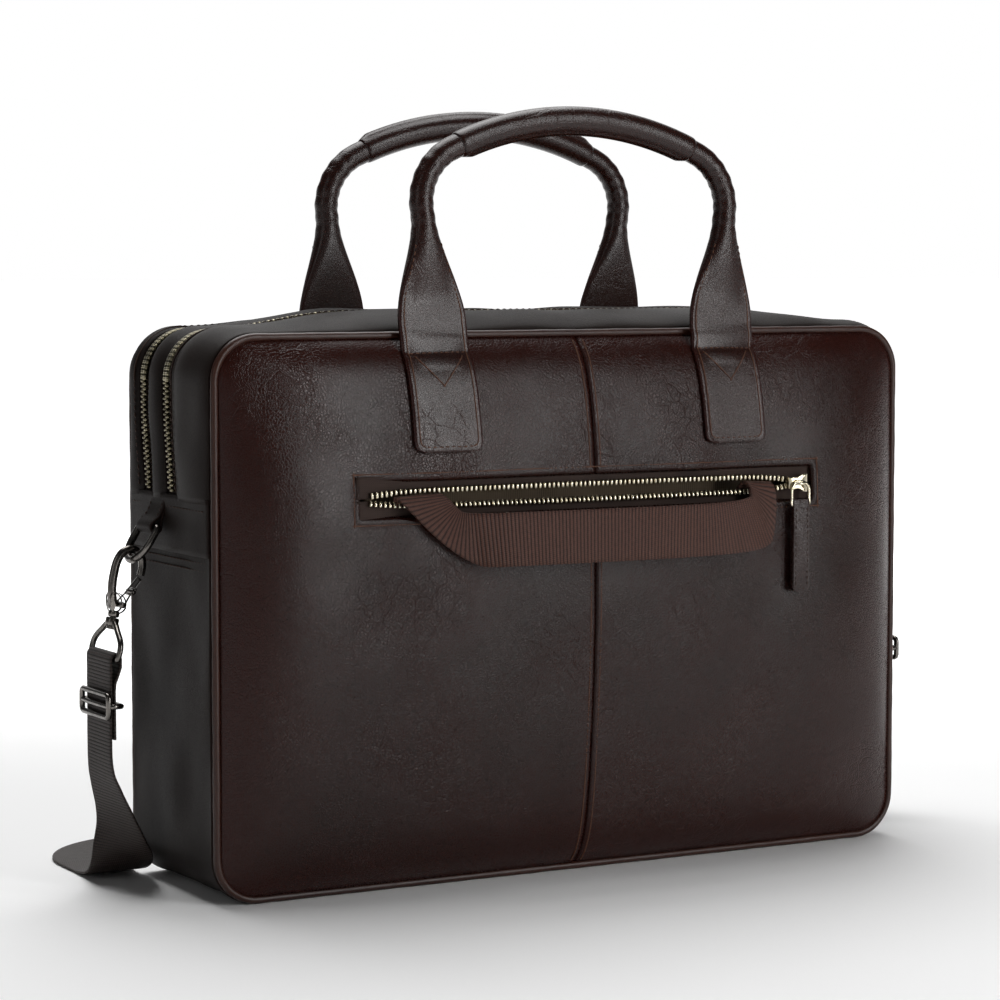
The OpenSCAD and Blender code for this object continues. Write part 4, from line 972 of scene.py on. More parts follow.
    def tab_row(self, az, end):
        """Stitches along points (across, height) of the right (end 1) or left (end -1) tab and leg."""
        az, _ = resampled(az, 1.2 * MM)
        half_way = self.s <= self.length / 2
        rising = self.path[half_way, 2]
        s = np.interp(az[:, 1], np.maximum.accumulate(rising), self.s[half_way])
        s = s if end > 0 else self.length - s
        a = az[:, 0] * (1 if end > 0 else -1)
        half, _, power, _ = self.sizes(s, az[:, 1])
        cap = np.maximum(1 - np.abs(a / half) ** power, 0) ** (1 / power)
        points = self.place(s, a, self.shape(s, az[:, 1], a, cap))
        return stitches(points, self.along(s, self.out), pitch=3.4 * MM, length=2.5 * MM, radius=0.36 * MM)

    def tab_stitches(self):
        """Every stitched line of both tabs."""
        edge = TAB_HALF - 2.8 * MM
        low, r = TAB_BOTTOM + 2.8 * MM, 3.2 * MM
        turn = np.linspace(0, np.pi / 2, 6)
        corner = np.stack([edge - r + r * np.sin(turn), low + r - r * np.cos(turn)], -1)
        z = np.linspace(low + r, BODY_H + 44 * MM, 40)[1:]
        flare = self.sizes(np.full_like(z, self.length / 2), z)[0]
        side = np.stack([np.minimum(edge, flare * 0.86), z], -1)
        outline_right = np.concatenate([[[0, low]], corner, side])
        seam, apex = BODY_H - 11 * MM, TAB_BOTTOM + 33 * MM
        lines = [outline_right, outline_right * [-1, 1], [(-edge, seam), (edge, seam)],
                 [(-13 * MM, seam - 2 * MM), (0, apex)], [(0, apex), (13 * MM, seam - 2 * MM)]]
        return merged([self.tab_row(line, end) for end in (-1, 1) for line in lines])

    def wrap(self, sides=36):
        """The grip's cover: a tube with turned ends and a stitched double ridge along its underside."""
        reach = np.radians(23.5) * GRIP[1]
        middle = self.length / 2
        s = middle + np.linspace(-1, 1, 141) * reach
        end = reach - np.abs(s - middle)
        radius = ROLL_R + 0.15 * MM + 0.6 * MM * (1 - np.exp(-end / (0.8 * MM)))
        theta = np.arange(sides) * 2 * np.pi / sides
        inner = np.exp(-((theta - np.pi) / 0.3) ** 2)
        split = np.exp(-((theta - np.pi) / 0.09) ** 2)
        seam = (2.1 * inner - 1.5 * split)[None] * MM
        r = radius[:, None] * (1 + 0.0 * theta) + seam * smooth(end, 0, 6 * MM)[:, None]
        section = np.stack([r * np.cos(theta), r * np.sin(theta)], -1)
        return sweep(*(self.along(s, values) for values in (self.path, self.across, self.out)), section)


back_foot, front_foot = joint_place("back_handle_fold"), joint_place("front_handle_fold")
for label, side, panel, foot, parent in (("back", -1, back, back_foot, "case"),
                                         ("front", 1, front, front_foot, "front_flap")):
    body = label + "_handle"
    fold = (parent, body, (0, 0, BODY_H - 3 * MM), (0, 0, BODY_H + 9 * MM))
    handle = Handle(side, panel, foot)
    verts, faces, worn = handle.loft()
    piece(label + "_handle_leather", (verts, faces), handle_leather, body,
          [body, label + "_handle_tabs"], blend=fold, burnish=worn)
    piece(label + "_handle_stitching", handle.tab_stitches(), thread, body, blend=fold)
    piece(label + "_grip_cover", handle.wrap(), handle_leather, body, [body + "_wrap"])


# ------------------------------------------------------------------ trolley strap
def ribbon(low_edge, high_edge, thickness, across=11, cuts=8):
    """Webbing as the ruled surface between its two edge curves, with UV in metres along and across it."""
    low, high = bowed(low_edge, cuts), bowed(high_edge, cuts)
    v = np.linspace(0, 1, across)[None, :, None]
    points = low[:, None] * (1 - v) + high[:, None] * v
    middle = points[:, across // 2]
    along = np.concatenate([[0], np.cumsum(np.linalg.norm(np.diff(middle, axis=0), axis=1))])
    width = np.linalg.norm(high - low, axis=1).max()
    uv = np.stack(np.broadcast_arrays(along[:, None], np.linspace(0, width, across)[None]), -1).reshape(-1, 2)
    verts, faces, _ = shell(points + grid_normals(points) * thickness / 2, thickness)
    return (verts, faces), np.concatenate([uv, uv])


STRAP_LOW = [(-108, -67, 183), (-114, -69.5, 194), (-117, -74.5, 200.2), (-113, -78.4, 196.5),
             (-100, -79.6, 183.5),
             (-86, -79.9, 172.5), (-74, -80.9, 166), (-66, -85, 164.8), (-50, -89.5, 165), (0, -92, 165),
             (50, -91, 165),
             (84, -86.5, 165.6), (100, -82, 168), (105, -79.8, 174), (107, -78.9, 186), (107, -77.8, 196.5),
             (106, -74, 200), (104, -69.5, 194), (102, -67, 183)]
STRAP_HIGH = [(-88, -67, 183), (-90, -69.5, 194), (-92, -74.5, 201), (-89, -78.2, 199), (-85, -79.5, 195),
              (-82, -81, 192.6), (-78, -83.5, 191.9), (-70, -86.5, 191.8), (-52, -90, 192), (0, -92, 192),
              (50, -91, 192),
              (76, -87.5, 192.6), (88, -83, 194), (90, -80.4, 195.6), (90.5, -79, 197.5), (90, -77.8, 199.3),
              (89, -74, 200.8), (87, -69.5, 194), (85, -67, 183)]
mesh, uv = ribbon(np.array(STRAP_LOW) * MM, np.array(STRAP_HIGH) * MM, 1.6 * MM)
piece("trolley_strap_webbing", mesh, trolley_web, "case", ["trolley_strap"], uv=uv)


# ------------------------------------------------------------------ back pocket
ROW_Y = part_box("back_pocket_teeth")[LOW].y
ROW_T = 2.0 * MM
WINDOW_Z = (WINDOW_LO + WINDOW_HI) / 2
slide_at = joint_place("back_pocket_pull_swing")


def parting(x):
    """Half the gap between the two rows of teeth: they close at the left end and into the slider."""
    left = 1 - np.exp(-np.maximum(x + WINDOW_W / 2 - 2 * MM, 0) / (16 * MM))
    right = 1 - np.exp(-np.maximum(slide_at[0] - 4 * MM - x, 0) / (13 * MM))
    return 0.6 * MM + 2.4 * MM * left * right


def pocket_tape(side):
    """Half of the pocket's tape, from under the leather to the row of teeth."""
    x = np.linspace(-WINDOW_W / 2 - 3 * MM, WINDOW_W / 2 + 3 * MM, 110)
    v = np.linspace(0, 1, 6)
    inner = WINDOW_Z + side * parting(x)
    outer = WINDOW_LO - 3 * MM if side < 0 else WINDOW_HI + 3 * MM
    z = inner[:, None] + (outer - inner[:, None]) * v
    y = ROW_Y + ROW_T + 0.6 * MM * np.sin(v * np.pi)[None] + 0 * z
    points = np.stack([x[:, None] + 0 * z, y, z], -1)
    verts, faces, _ = shell(points if side > 0 else points[:, ::-1], 0.8 * MM)
    return verts, faces


def pocket_teeth(side):
    """One row of bright teeth; the lower row is tipped away from the light."""
    x = np.arange(-WINDOW_W / 2 + 4 * MM, slide_at[0] - 5 * MM, 2.65 * MM) + (0.66 * MM if side > 0 else 0)
    z = WINDOW_Z + side * (parting(x) + 1.15 * MM)
    centre = np.stack([x, ROW_Y + ROW_T + 0 * x, z], -1)
    tip = 0.32 if side < 0 else 0.05
    up = unit(np.stack([0 * x, -np.cos(tip) + 0 * x, side * -np.sin(tip) + 0 * x], -1))
    return teeth(centre, tangents(centre), up, 3.3 * MM, 1.45 * MM, 2.3 * MM)


piece("pocket_tapes", merged([pocket_tape(-1), pocket_tape(1)]), zip_tape, "case",
      ["back_pocket_tapes"])
piece("pocket_teeth", merged([pocket_teeth(-1), pocket_teeth(1)]), nickel, "case",
      ["back_pocket_teeth"])


def slab(outline_points, heights, shrink):
    """Plate with rounded edges: an outline (x, y) stacked at the given heights, each scaled towards
    the middle."""
    middle = outline_points.mean(0)
    rings = [np.concatenate([middle + (outline_points - middle) * k, np.full((len(outline_points), 1), h)],
                            -1)
             for h, k in zip(heights, shrink)]
    return stacked(np.array(rings))


def moved(mesh, origin, ex, ey, ez):
    """A mesh carried to a place given by its origin and three axes; turned over if the axes are
    left-handed."""
    verts, faces = mesh
    axes = np.array([ex, ey, ez], float)
    if np.linalg.det(axes) < 0:
        faces = reversed_order(faces)
    return np.asarray(origin) + verts @ axes, faces


def slider_body(length, width, high=3.4 * MM):
    """Slider seen from above, wide where the rows part and narrow where they close, with a pinched waist."""
    t = np.linspace(-1, 1, 15)
    half = width / 2 * (0.8 + 0.2 * t - 0.16 * np.exp(-(t / 0.3) ** 2))
    right = np.stack([half, t * length / 2], -1)
    loop = np.concatenate([right, right[::-1] * [-1, 1]])
    return slab(loop, [-0.4 * MM, 0, high - 0.5 * MM, high], [0.93, 1.0, 1.0, 0.86])


def bridge(high, reach, radius):
    """Arched bar over a slider that carries the pull, in the plane of its length."""
    t = np.linspace(0, np.pi, 15)
    path = np.stack([0 * t, reach * np.cos(t), high * np.sin(t)], -1)
    return tube(path, radius, (1, 0, 0), 10)


def on_axes(mesh, origin, out, along):
    """Carry a mesh whose z is out of the zip and whose y runs along it."""
    out, along = np.array(out, float), np.array(along, float)
    return moved(mesh, origin, np.cross(along, out), along, out)


def slider(base, out, along, width, arch_z, arch_high, wire_r, high=3.4 * MM):
    """A slider's body with the arched bar that stands on it, set on a zip at base."""
    verts, faces = bridge(arch_high, BRIDGE_REACH, wire_r)
    parts = (slider_body(SLIDER_L, width, high), (verts + [0, 0, arch_z], faces))
    return merged([on_axes(part, base, out, along) for part in parts])


SLIDER_L = 11.6 * MM
BRIDGE_REACH = 3.6 * MM
base = np.array([slide_at[0], ROW_Y + 0.2 * MM, WINDOW_Z])
mesh = slider(base, (0, -1, 0), (1, 0, 0), 9.8 * MM, 3.0 * MM, 3.6 * MM, 0.95 * MM)
piece("pocket_slider", mesh, nickel, "back_pocket_slider", ["back_pocket_slider"], sharp=40)


def wire_loop():
    """Bright wire bent down both sides of the leather pull and across inside its top."""
    r, drop = 5.5 * MM, 7 * MM
    t = np.linspace(0, np.pi, 25)
    arch = np.stack([r * np.cos(t), r * 0.85 * np.sin(t)], -1)
    legs = np.array([[-r, -drop * 0.5], [-r, -drop], [-r * 0.6, -drop - 1.2 * MM], [0, -drop - 1.4 * MM],
                     [r * 0.6, -drop - 1.2 * MM], [r, -drop], [r, -drop * 0.5]])
    flat, _ = resampled(np.concatenate([arch, bowed(legs, 6), arch[:1]]), 0.7 * MM)
    flat = flat[:-1] - [0, r * 0.85 - 0.9 * MM]
    path = np.stack([slide_at[0] + flat[:, 0], np.full(len(flat), slide_at[1]), slide_at[2] + flat[:, 1]], -1)
    return tube(path, 0.85 * MM, (0, -1, 0), 12, closed=True)


piece("pocket_wire_loop", wire_loop(), nickel, "back_pocket_pull", ["back_pocket_wire_loop"])


def leather_pull(top, length, width, thick, out):
    """Strip of doubled leather hanging from top (a point), with rounded lower corners and a stitched rim."""
    r = 3 * MM
    t = np.linspace(0, np.pi / 2, 6)
    low = np.stack([width / 2 - r + r * np.sin(t), -length + r - r * np.cos(t)], -1)
    high = np.stack([width / 2 - 1.5 * MM + 1.5 * MM * np.cos(t), -1.5 * MM + 1.5 * MM * np.sin(t)], -1)
    right = np.concatenate([low, high])
    loop = np.concatenate([right, right[::-1] * [-1, 1]])
    body = slab(loop, np.array([-0.5, -0.34, 0.34, 0.5]) * thick, [0.93, 1.0, 1.0, 0.93])
    inset = width / 2 - 1.6 * MM
    rows = []
    for face in (-1, 1):
        z = face * thick / 2
        for x in (-1, 1):
            line = np.array([(x * inset, -4 * MM, z), (x * inset, -length + 3 * MM, z)])
            rows.append(stitches(line, np.broadcast_to([0, 0, face], line.shape), 3.0 * MM, 2.2 * MM,
                                 0.32 * MM))
        line = np.array([(-inset + 1 * MM, -length + 1.8 * MM, z), (inset - 1 * MM, -length + 1.8 * MM, z)])
        rows.append(stitches(line, np.broadcast_to([0, 0, face], line.shape), 3.0 * MM, 2.2 * MM, 0.32 * MM))
    axes = (np.cross((0, 0, 1), out), (0, 0, 1), out)
    return moved(body, top, *axes), moved(merged(rows), top, *axes)


body, rows = leather_pull(slide_at - [0, 0, 8.6 * MM], 49 * MM, 10.5 * MM, 3.4 * MM, (0, -1, 0))
piece("pocket_pull", body, handle_leather, "back_pocket_pull", ["back_pocket_pull"],
      sharp=35,
      burnish=np.full(len(body[0]), 0.15))
piece("pocket_pull_stitching", rows, dark_thread, "back_pocket_pull")


# ------------------------------------------------------------------ front pocket and main sliders
def pull_ring(top, out, width, drop, radius):
    """Closed wire stirrup that hangs from a slider's bridge."""
    r = width / 2
    points = [(0, 0), (r * 0.8, -0.5 * MM), (r, -drop * 0.4), (r, -drop * 0.85), (r * 0.6, -drop), (0, -drop)]
    half = bowed(np.array(points), 6)
    flat = np.concatenate([half, half[-2:0:-1] * [-1, 1]])
    side = np.cross((0, 0, 1), out)
    path = np.asarray(top) + flat[:, :1] * side + flat[:, 1:] * np.array([0, 0, 1.0])
    return tube(path, radius, out, 10, closed=True)


front_slide = joint_place("front_pocket_pull_swing")
FRONT_ROW_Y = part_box("front_pocket_zip")[HIGH].y - 2 * MM
FRONT_Z = (FRONT_WIN_LO + FRONT_WIN_HI) / 2
x = np.linspace(-WINDOW_W / 2 - 3 * MM, WINDOW_W / 2 + 3 * MM, 90)
z = np.linspace(FRONT_WIN_LO - 3 * MM, FRONT_WIN_HI + 3 * MM, 8)
gx, gz = np.meshgrid(x[::-1], z, indexing="ij")
verts, faces, _ = shell(np.stack([gx, FRONT_ROW_Y + 0.25 * MM * np.cos(gz / (2 * MM)), gz], -1), 0.9 * MM)
piece("front_pocket_tape", (verts, faces), zip_tape, "case", ["front_pocket_zip"])
rows = []
for side in (-1, 1):
    x = np.arange(-WINDOW_W / 2 + 4 * MM, WINDOW_W / 2 - 4 * MM,
                  TOOTH_PITCH) + (TOOTH_PITCH / 2 if side > 0 else 0)
    centre = np.stack([x, FRONT_ROW_Y - 0.1 * MM + 0 * x, FRONT_Z + side * 1.3 * MM + 0 * x], -1)
    rows.append(teeth(centre, tangents(centre), np.broadcast_to([0.0, 1, 0], centre.shape), 3.1 * MM,
                      1.55 * MM, 2.0 * MM))
piece("front_pocket_teeth", merged(rows), antique, "case")
base = np.array([front_slide[0], FRONT_ROW_Y + 1.2 * MM, FRONT_Z])
mesh = slider(base, (0, 1, 0), (1, 0, 0), 9.2 * MM, 2.4 * MM, 3.4 * MM, 0.9 * MM)
piece("front_pocket_slider_body", mesh, antique, "front_pocket_slider",
      ["front_pocket_slider"],
      sharp=40)
body, rows = leather_pull(front_slide - [0, 0, 5 * MM], 42 * MM, 10 * MM, 3 * MM, (0, 1, 0))
piece("front_pocket_pull_leather", body, handle_leather, "front_pocket_pull",
      ["front_pocket_pull"],
      sharp=35, burnish=np.full(len(body[0]), 0.15))
piece("front_pocket_pull_stitching", rows, dark_thread, "front_pocket_pull")
piece("front_pocket_pull_ring", pull_ring(front_slide + [0, 0, 0.6 * MM], (0, 1, 0), 7 * MM, 8 * MM,
                                          0.75 * MM), antique,
      "front_pocket_pull")

for label in ("rear", "front"):
    pin = joint_place(label + "_main_pull_swing")
    base = np.array([BODY_W / 2 + 0.5 * MM, pin[1], pin[2]])
    mesh = slider(base, (1, 0, 0), (0, 0, 1), 9.4 * MM, 2.4 * MM, 3.2 * MM, 0.9 * MM, 3.0 * MM)
    piece(label + "_main_slider_body", mesh, antique, label + "_main_slider",
          [label + "_main_slider"], sharp=40)
    t = np.linspace(0, 2 * np.pi, 28, endpoint=False)
    tab = np.stack([3.2 * MM * np.cos(t) * (1 + 0.12 * np.sin(t)), -12 * MM + 6 * MM * np.sin(t)], -1)
    plate = slab(tab, np.array([-0.8, -0.5, 0.5, 0.8]) * MM, [0.9, 1.0, 1.0, 0.9])
    plate = moved(plate, pin, (0, 1, 0), (0, 0, 1), (1, 0, 0))
    ring = pull_ring(pin + [0, 0, 0.6 * MM], (1, 0, 0), 5.4 * MM, 7.4 * MM, 0.7 * MM)
    piece(label + "_main_pull_tab", merged([plate, ring]), antique, label + "_main_pull",
          [label + "_main_pull"], sharp=40)


# ------------------------------------------------------------------ strap hardware
CHAIN_Y = joint_place("left_d_ring_swing")[1]
HOOK_TILT = math.radians(14)
RING_TILT = math.radians(32)
RING_R = 1.9 * MM
RING_HALF = 11.3 * MM
RING_DROP = 8 * MM
EYE_L = 22 * MM


def tilted(side, place, tilt, points):
    """Points of a hanging part's own frame (x away from the case, z up) set at its place, leaning out
    by tilt."""
    points = np.asarray(points, float)
    x = points[..., 0] * np.cos(tilt) - points[..., 2] * np.sin(tilt)
    z = points[..., 0] * np.sin(tilt) + points[..., 2] * np.cos(tilt)
    return np.stack([place[0] + side * x, place[1] + points[..., 1], place[2] + z], -1)


def lathe(profile, n=24):
    """Round part about z from (radius, height) points, its ends closed."""
    profile = np.asarray(profile, float)
    t = np.arange(n) * 2 * np.pi / n
    rings = np.stack([profile[:, :1] * np.cos(t), profile[:, :1] * np.sin(t), profile[:, 1:] + 0 * t], -1)
    verts, faces = stacked(rings)
    verts[-2:] = [[0, 0, profile[0, 1]], [0, 0, profile[-1, 1]]]
    return verts, faces


def cheek(outline_xz, y0, y1, edge=0.35 * MM):
    """Plate in the XZ plane between y0 and y1 with rounded edges."""
    verts, faces = slab(np.asarray(outline_xz, float), [y0, y0 + edge, y1 - edge, y1], [0.93, 1.0, 1.0, 0.93])
    return verts[:, [0, 2, 1]], faces


def disc(centre_x, centre_z, r, y0, y1):
    """Round boss across the hook, domed at both ends."""
    t = np.arange(20) * 2 * np.pi / 20
    loop = np.stack([centre_x + r * np.cos(t), centre_z + r * np.sin(t)], -1)
    verts, faces = slab(loop, [y0, y0 + 0.3 * MM, y1 - 0.3 * MM, y1], [0.6, 1.0, 1.0, 0.6])
    return verts[:, [0, 2, 1]], faces


def as_frame(mesh, side, place, tilt):
    """A mesh set in a hanging part's frame, its faces turned over where the side mirrors it."""
    verts, faces = mesh
    verts = tilted(side, place, tilt, verts)
    return verts, outward(verts, faces)


def d_ring(side, label):
    """Wire D that hangs in the leather loop."""
    ring_at = joint_place(label + "_d_ring_swing")
    t = np.linspace(0, np.pi, 25)
    bow_y = RING_HALF * np.cos(t)
    bow_z = -RING_DROP - RING_HALF * np.sin(t)
    half = np.array([(RING_HALF - 1.2 * MM, 0), (RING_HALF - 0.2 * MM, -0.6 * MM), (RING_HALF, -2 * MM)])
    yz = np.concatenate([half, np.stack([bow_y, bow_z], -1), half[::-1] * [-1, 1]])
    yz, _ = resampled(np.concatenate([yz, yz[:1]]), 0.9 * MM)
    yz = yz[:-1]
    path = tilted(side, ring_at, RING_TILT, np.stack([0 * yz[:, 0], yz[:, 0], yz[:, 1]], -1))
    piece(label + "_d_ring_wire", tube(path, RING_R, (1, 0, 0.3), 16, closed=True), gunmetal,
          label + "_d_ring",
          [label + "_d_ring"])


def hung(side, label, parts):
    """Parts of the hook's own frame, set in their place below the ring and joined."""
    hook_at = joint_place(label + "_hook_swivel")
    return merged([as_frame(part, side, hook_at, HOOK_TILT) for part in parts])


def snap_hook(side, label):
    """Curved jaw between two riveted cheeks, on a turned swivel collar."""
    spine = bowed(np.array([(0.6, 3.5), (2.8, 8), (4.2, 14), (4.6, 20), (4.3, 26), (2.2, 31), (-2.6, 33.3),
                            (-7.4, 31.2),
                            (-9.5, 26.4), (-9.7, 21.4)]) * MM, 7)
    path = np.stack([spine[:, 0], 0 * spine[:, 0], spine[:, 1]], -1)
    along = np.linspace(0, 1, len(path))
    jaw = tube(path, (2.35 - 0.35 * along) * MM, (0, 1, 0), 16)
    jaw[0][:, 1] *= 0.86
    base_loop = np.array([(-4.6, 3.6), (-4.2, 6.6), (-2.4, 9.2), (0.6, 10.6), (3.6, 10.4), (4.9, 8.6),
                          (4.4, 5), (3, 2), (1.6, 0.4),
                          (-1.6, 0.4), (-3.6, 1.8)]) * MM
    loop, _ = resampled(bowed(np.concatenate([base_loop, base_loop[:1]]), 5), 0.8 * MM)
    loop = loop[:-1]
    cheeks = [cheek(loop, y0, y1) for y0, y1 in ((-3.5 * MM, -1.7 * MM), (1.7 * MM, 3.5 * MM))]
    web = cheek(np.array([(0.8, 1), (4.0, 3), (4.6, 8.8), (2.6, 9.6), (1.6, 6), (0.6, 3)]) * MM, -1.9 * MM,
                1.9 * MM)
    rivet = disc(-2.2 * MM, 5 * MM, 1.6 * MM, -4.0 * MM, 4.0 * MM)
    collar = lathe(np.array([(1.3, -8), (2.2, -7.8), (2.3, -6.6), (1.4, -6.4), (1.4, -1.9), (2.2, -1.8),
                             (2.9, -1.1), (2.9, 0.6),
                             (2.3, 1.6)]) * MM)
    piece(label + "_hook_body", hung(side, label, (jaw, *cheeks, web, rivet, collar)), gunmetal,
          label + "_snap_hook",
          [label + "_snap_hook"], sharp=50)


def hook_gate(side, label):
    """Sprung tongue that closes the hook, with a ribbed thumb boss."""
    low, high = np.array([-2.2, 5]) * MM, np.array([-9.3, 19.9]) * MM
    way = unit(high - low)
    over = np.array([way[1], -way[0]])
    reach = np.linalg.norm(high - low)
    at = [(0, -2.2), (0.08, -2.3), (0.35, -1.6), (0.8, -1.35), (1, -1.2), (1, 1.1), (0.8, 1.35), (0.35, 1.6),
          (0.08, 2.3), (0, 2.2)]
    tongue = np.array([low + way * reach * u + over * w * MM for u, w in at])
    knob = low + way * reach * 0.52 - over * 0.6 * MM
    grips = [disc(*(knob + way * k * 1.5 * MM), 0.75 * MM, -4.2 * MM, 4.2 * MM) for k in (-1, 0, 1)]
    boss = disc(*knob, 1.5 * MM, -3.6 * MM, 3.6 * MM)
    plate = cheek(tongue, -1.3 * MM, 1.3 * MM)
    piece(label + "_gate_tongue", hung(side, label, (plate, boss, *grips)), gunmetal,
          label + "_hook_gate", [label + "_hook_gate"], sharp=50)


def swivel_eye(side, label):
    """Wire frame that holds the strap, under its barrel."""
    eye = np.array([(0, -3.4), (4, -4.4), (10, -8.6), (15.6, -12.6), (17.7, -16), (17.8, -20), (16.9, -21.7),
                    (14.8, -22),
                    (7, -22), (0, -22)]) * MM
    half = bowed(eye, 6)
    yz = np.concatenate([half, half[-2:0:-1] * [-1, 1]])
    path = np.stack([0 * yz[:, 0], yz[:, 0], yz[:, 1]], -1)
    frame_wire = tube(path, 1.5 * MM, (1, 0, 0), 14, closed=True)
    barrel = lathe(np.array([(1.6, -6.0), (3.0, -5.9), (3.4, -5.2), (3.4, -2.7), (3.0, -2.1),
                             (1.6, -2.0)]) * MM)
    piece(label + "_eye_frame", hung(side, label, (frame_wire, barrel)), gunmetal, "case",
          [label + "_swivel_eye"], sharp=50)


def chape(side, label):
    """Leather loop sewn to the case, which holds the ring."""
    loop = bowed(np.array([(0.8, 197.5), (1.6, 194), (4.0, 189.6), (7.4, 186.7), (8.8, 184.4), (8.0, 182.1),
                           (6, 181.1),
                           (4.0, 182.0), (3.2, 184), (3.0, 187), (1.8, 190.5), (0.8, 194)]) * MM, 6)
    path = np.stack([side * (BODY_W / 2 + loop[:, 0]), CHAIN_Y + 0 * loop[:, 0], loop[:, 1]], -1)
    t = tangents(path)
    width = np.broadcast_to([0.0, 1, 0], path.shape)
    strip = sweep(path, width, np.cross(t, width), rounded_box(9 * MM, 0.85 * MM, 20, 6.0))
    edge = np.tile(0.8 * np.abs(rounded_box(1, 1, 20, 6.0)[:, 0]) ** 8, len(path))
    # The chape takes the gusset leather, whose darker colour is painted shade.
    piece(label + "_chape_leather", strip, gusset_leather, "case", [label + "_chape"],
          burnish=np.concatenate([edge, [0.8, 0.8]]))
    rows = []
    for y in (-7.2 * MM, 7.2 * MM):
        line = path[2:18] + [side * 0.75 * MM, y, 0.3 * MM]
        rows.append(stitches(line, np.broadcast_to([side, 0.0, 0.5], line.shape), 3.0 * MM, 2.2 * MM,
                             0.3 * MM))
    piece(label + "_chape_stitching", merged(rows), dark_thread, "case")


for side, label in ((-1, "left"), (1, "right")):
    for make in (d_ring, snap_hook, hook_gate, swivel_eye, chape):
        make(side, label)


# ------------------------------------------------------------------ shoulder strap
hook_at = joint_place("right_hook_swivel")
FOLD_X = hook_at[0] + np.sin(HOOK_TILT) * EYE_L
FOLD_Z = hook_at[2] - np.cos(HOOK_TILT) * EYE_L
STRAP_T = 1.6 * MM
STRAP_W = 31 * MM
HANG_X = FOLD_X + 1.85 * MM + STRAP_T / 2
FLOOR_Z = STRAP_T / 2 + 0.05 * MM
BACK_Y = 132 * MM
TURN_R = 46 * MM
SIDE_STEP = 22.5 * MM


def strap_route():
    """Middle line of the strap and the direction across it, from the left tail to the right one."""
    hang = np.array([(0, 0, FOLD_Z / MM, 0, 1, 0), (0, 0, FOLD_Z / MM - 20, 0, 1, 0), (0, 0, 68, 0, 1, 0),
                     (-3.5, 1, 54, 0.1, 1, 0), (-9, 3, 40, 0.25, 1, 0), (-13.5, 6.5, 28, 0.5, 0.86, 0.1),
                     (-17, 13, 17, 0.85, 0.5, 0.15), (-19.5, 23, 9, 1, 0.2, 0.08),
                     (-21.5, 37, 3.5, 1, 0.05, 0),
                     (-SIDE_STEP / MM, 55, FLOOR_Z / MM, 1, 0, 0)], float)
    hang[:, :3] = hang[:, :3] * MM + [HANG_X, CHAIN_Y, 0]
    hang = bowed(hang, 8)
    tail_x, radius = HANG_X - STRAP_T - 0.25 * MM, 1.85 * MM + STRAP_T / 2
    a = np.linspace(np.pi, 0, 13)
    fold = np.stack([FOLD_X + radius * np.cos(a), CHAIN_Y + 0 * a, FOLD_Z + radius * np.sin(a)], -1)
    z = FOLD_Z - np.linspace(40, 4, 10) * MM
    ease = smooth(z, FOLD_Z - 14 * MM, FOLD_Z - 3 * MM)
    tail = np.stack([tail_x + (FOLD_X - radius - tail_x) * ease, CHAIN_Y + 0 * z, z], -1)
    start = np.concatenate([tail, fold])
    start = np.concatenate([start, np.broadcast_to([0.0, 1, 0], start.shape)], -1)
    a = np.linspace(0, np.pi / 2, 17)[1:]
    centre = (HANG_X - SIDE_STEP - TURN_R, BACK_Y - TURN_R)
    turn = np.stack([centre[0] + TURN_R * np.cos(a), centre[1] + TURN_R * np.sin(a), FLOOR_Z + 0 * a,
                     np.cos(a), np.sin(a),
                     0 * a], -1)
    run = np.array([(x * MM, BACK_Y, FLOOR_Z, 0, 1, 0) for x in (120, 80, 40, 0)])
    half = np.concatenate([start, hang[1:], turn, run])
    return np.concatenate([half * [-1, 1, 1, -1, 1, 1], half[-2::-1]])


route = strap_route()
path, width = route[:, :3], route[:, 3:]
t = tangents(path)
width = unit(width - t * np.einsum("ij,ij->i", width, t)[:, None])
section = rounded_box(STRAP_W / 2, STRAP_T / 2, 28, 8.0)
mesh = sweep(path, width, np.cross(t, width), section)
along = np.concatenate([[0], np.cumsum(np.linalg.norm(np.diff(path, axis=0), axis=1))])
uv = np.stack(np.broadcast_arrays(along[:, None], section[None, :, 0]), -1).reshape(-1, 2)
uv = np.concatenate([uv, [[0, 0], [along[-1], 0]]])
piece("shoulder_strap_webbing", mesh, shoulder_web, "case", ["shoulder_strap"], uv=uv)
OUTER_BAR_X = HANG_X + 2.3 * MM
INNER_BAR_X = HANG_X - 4.4 * MM


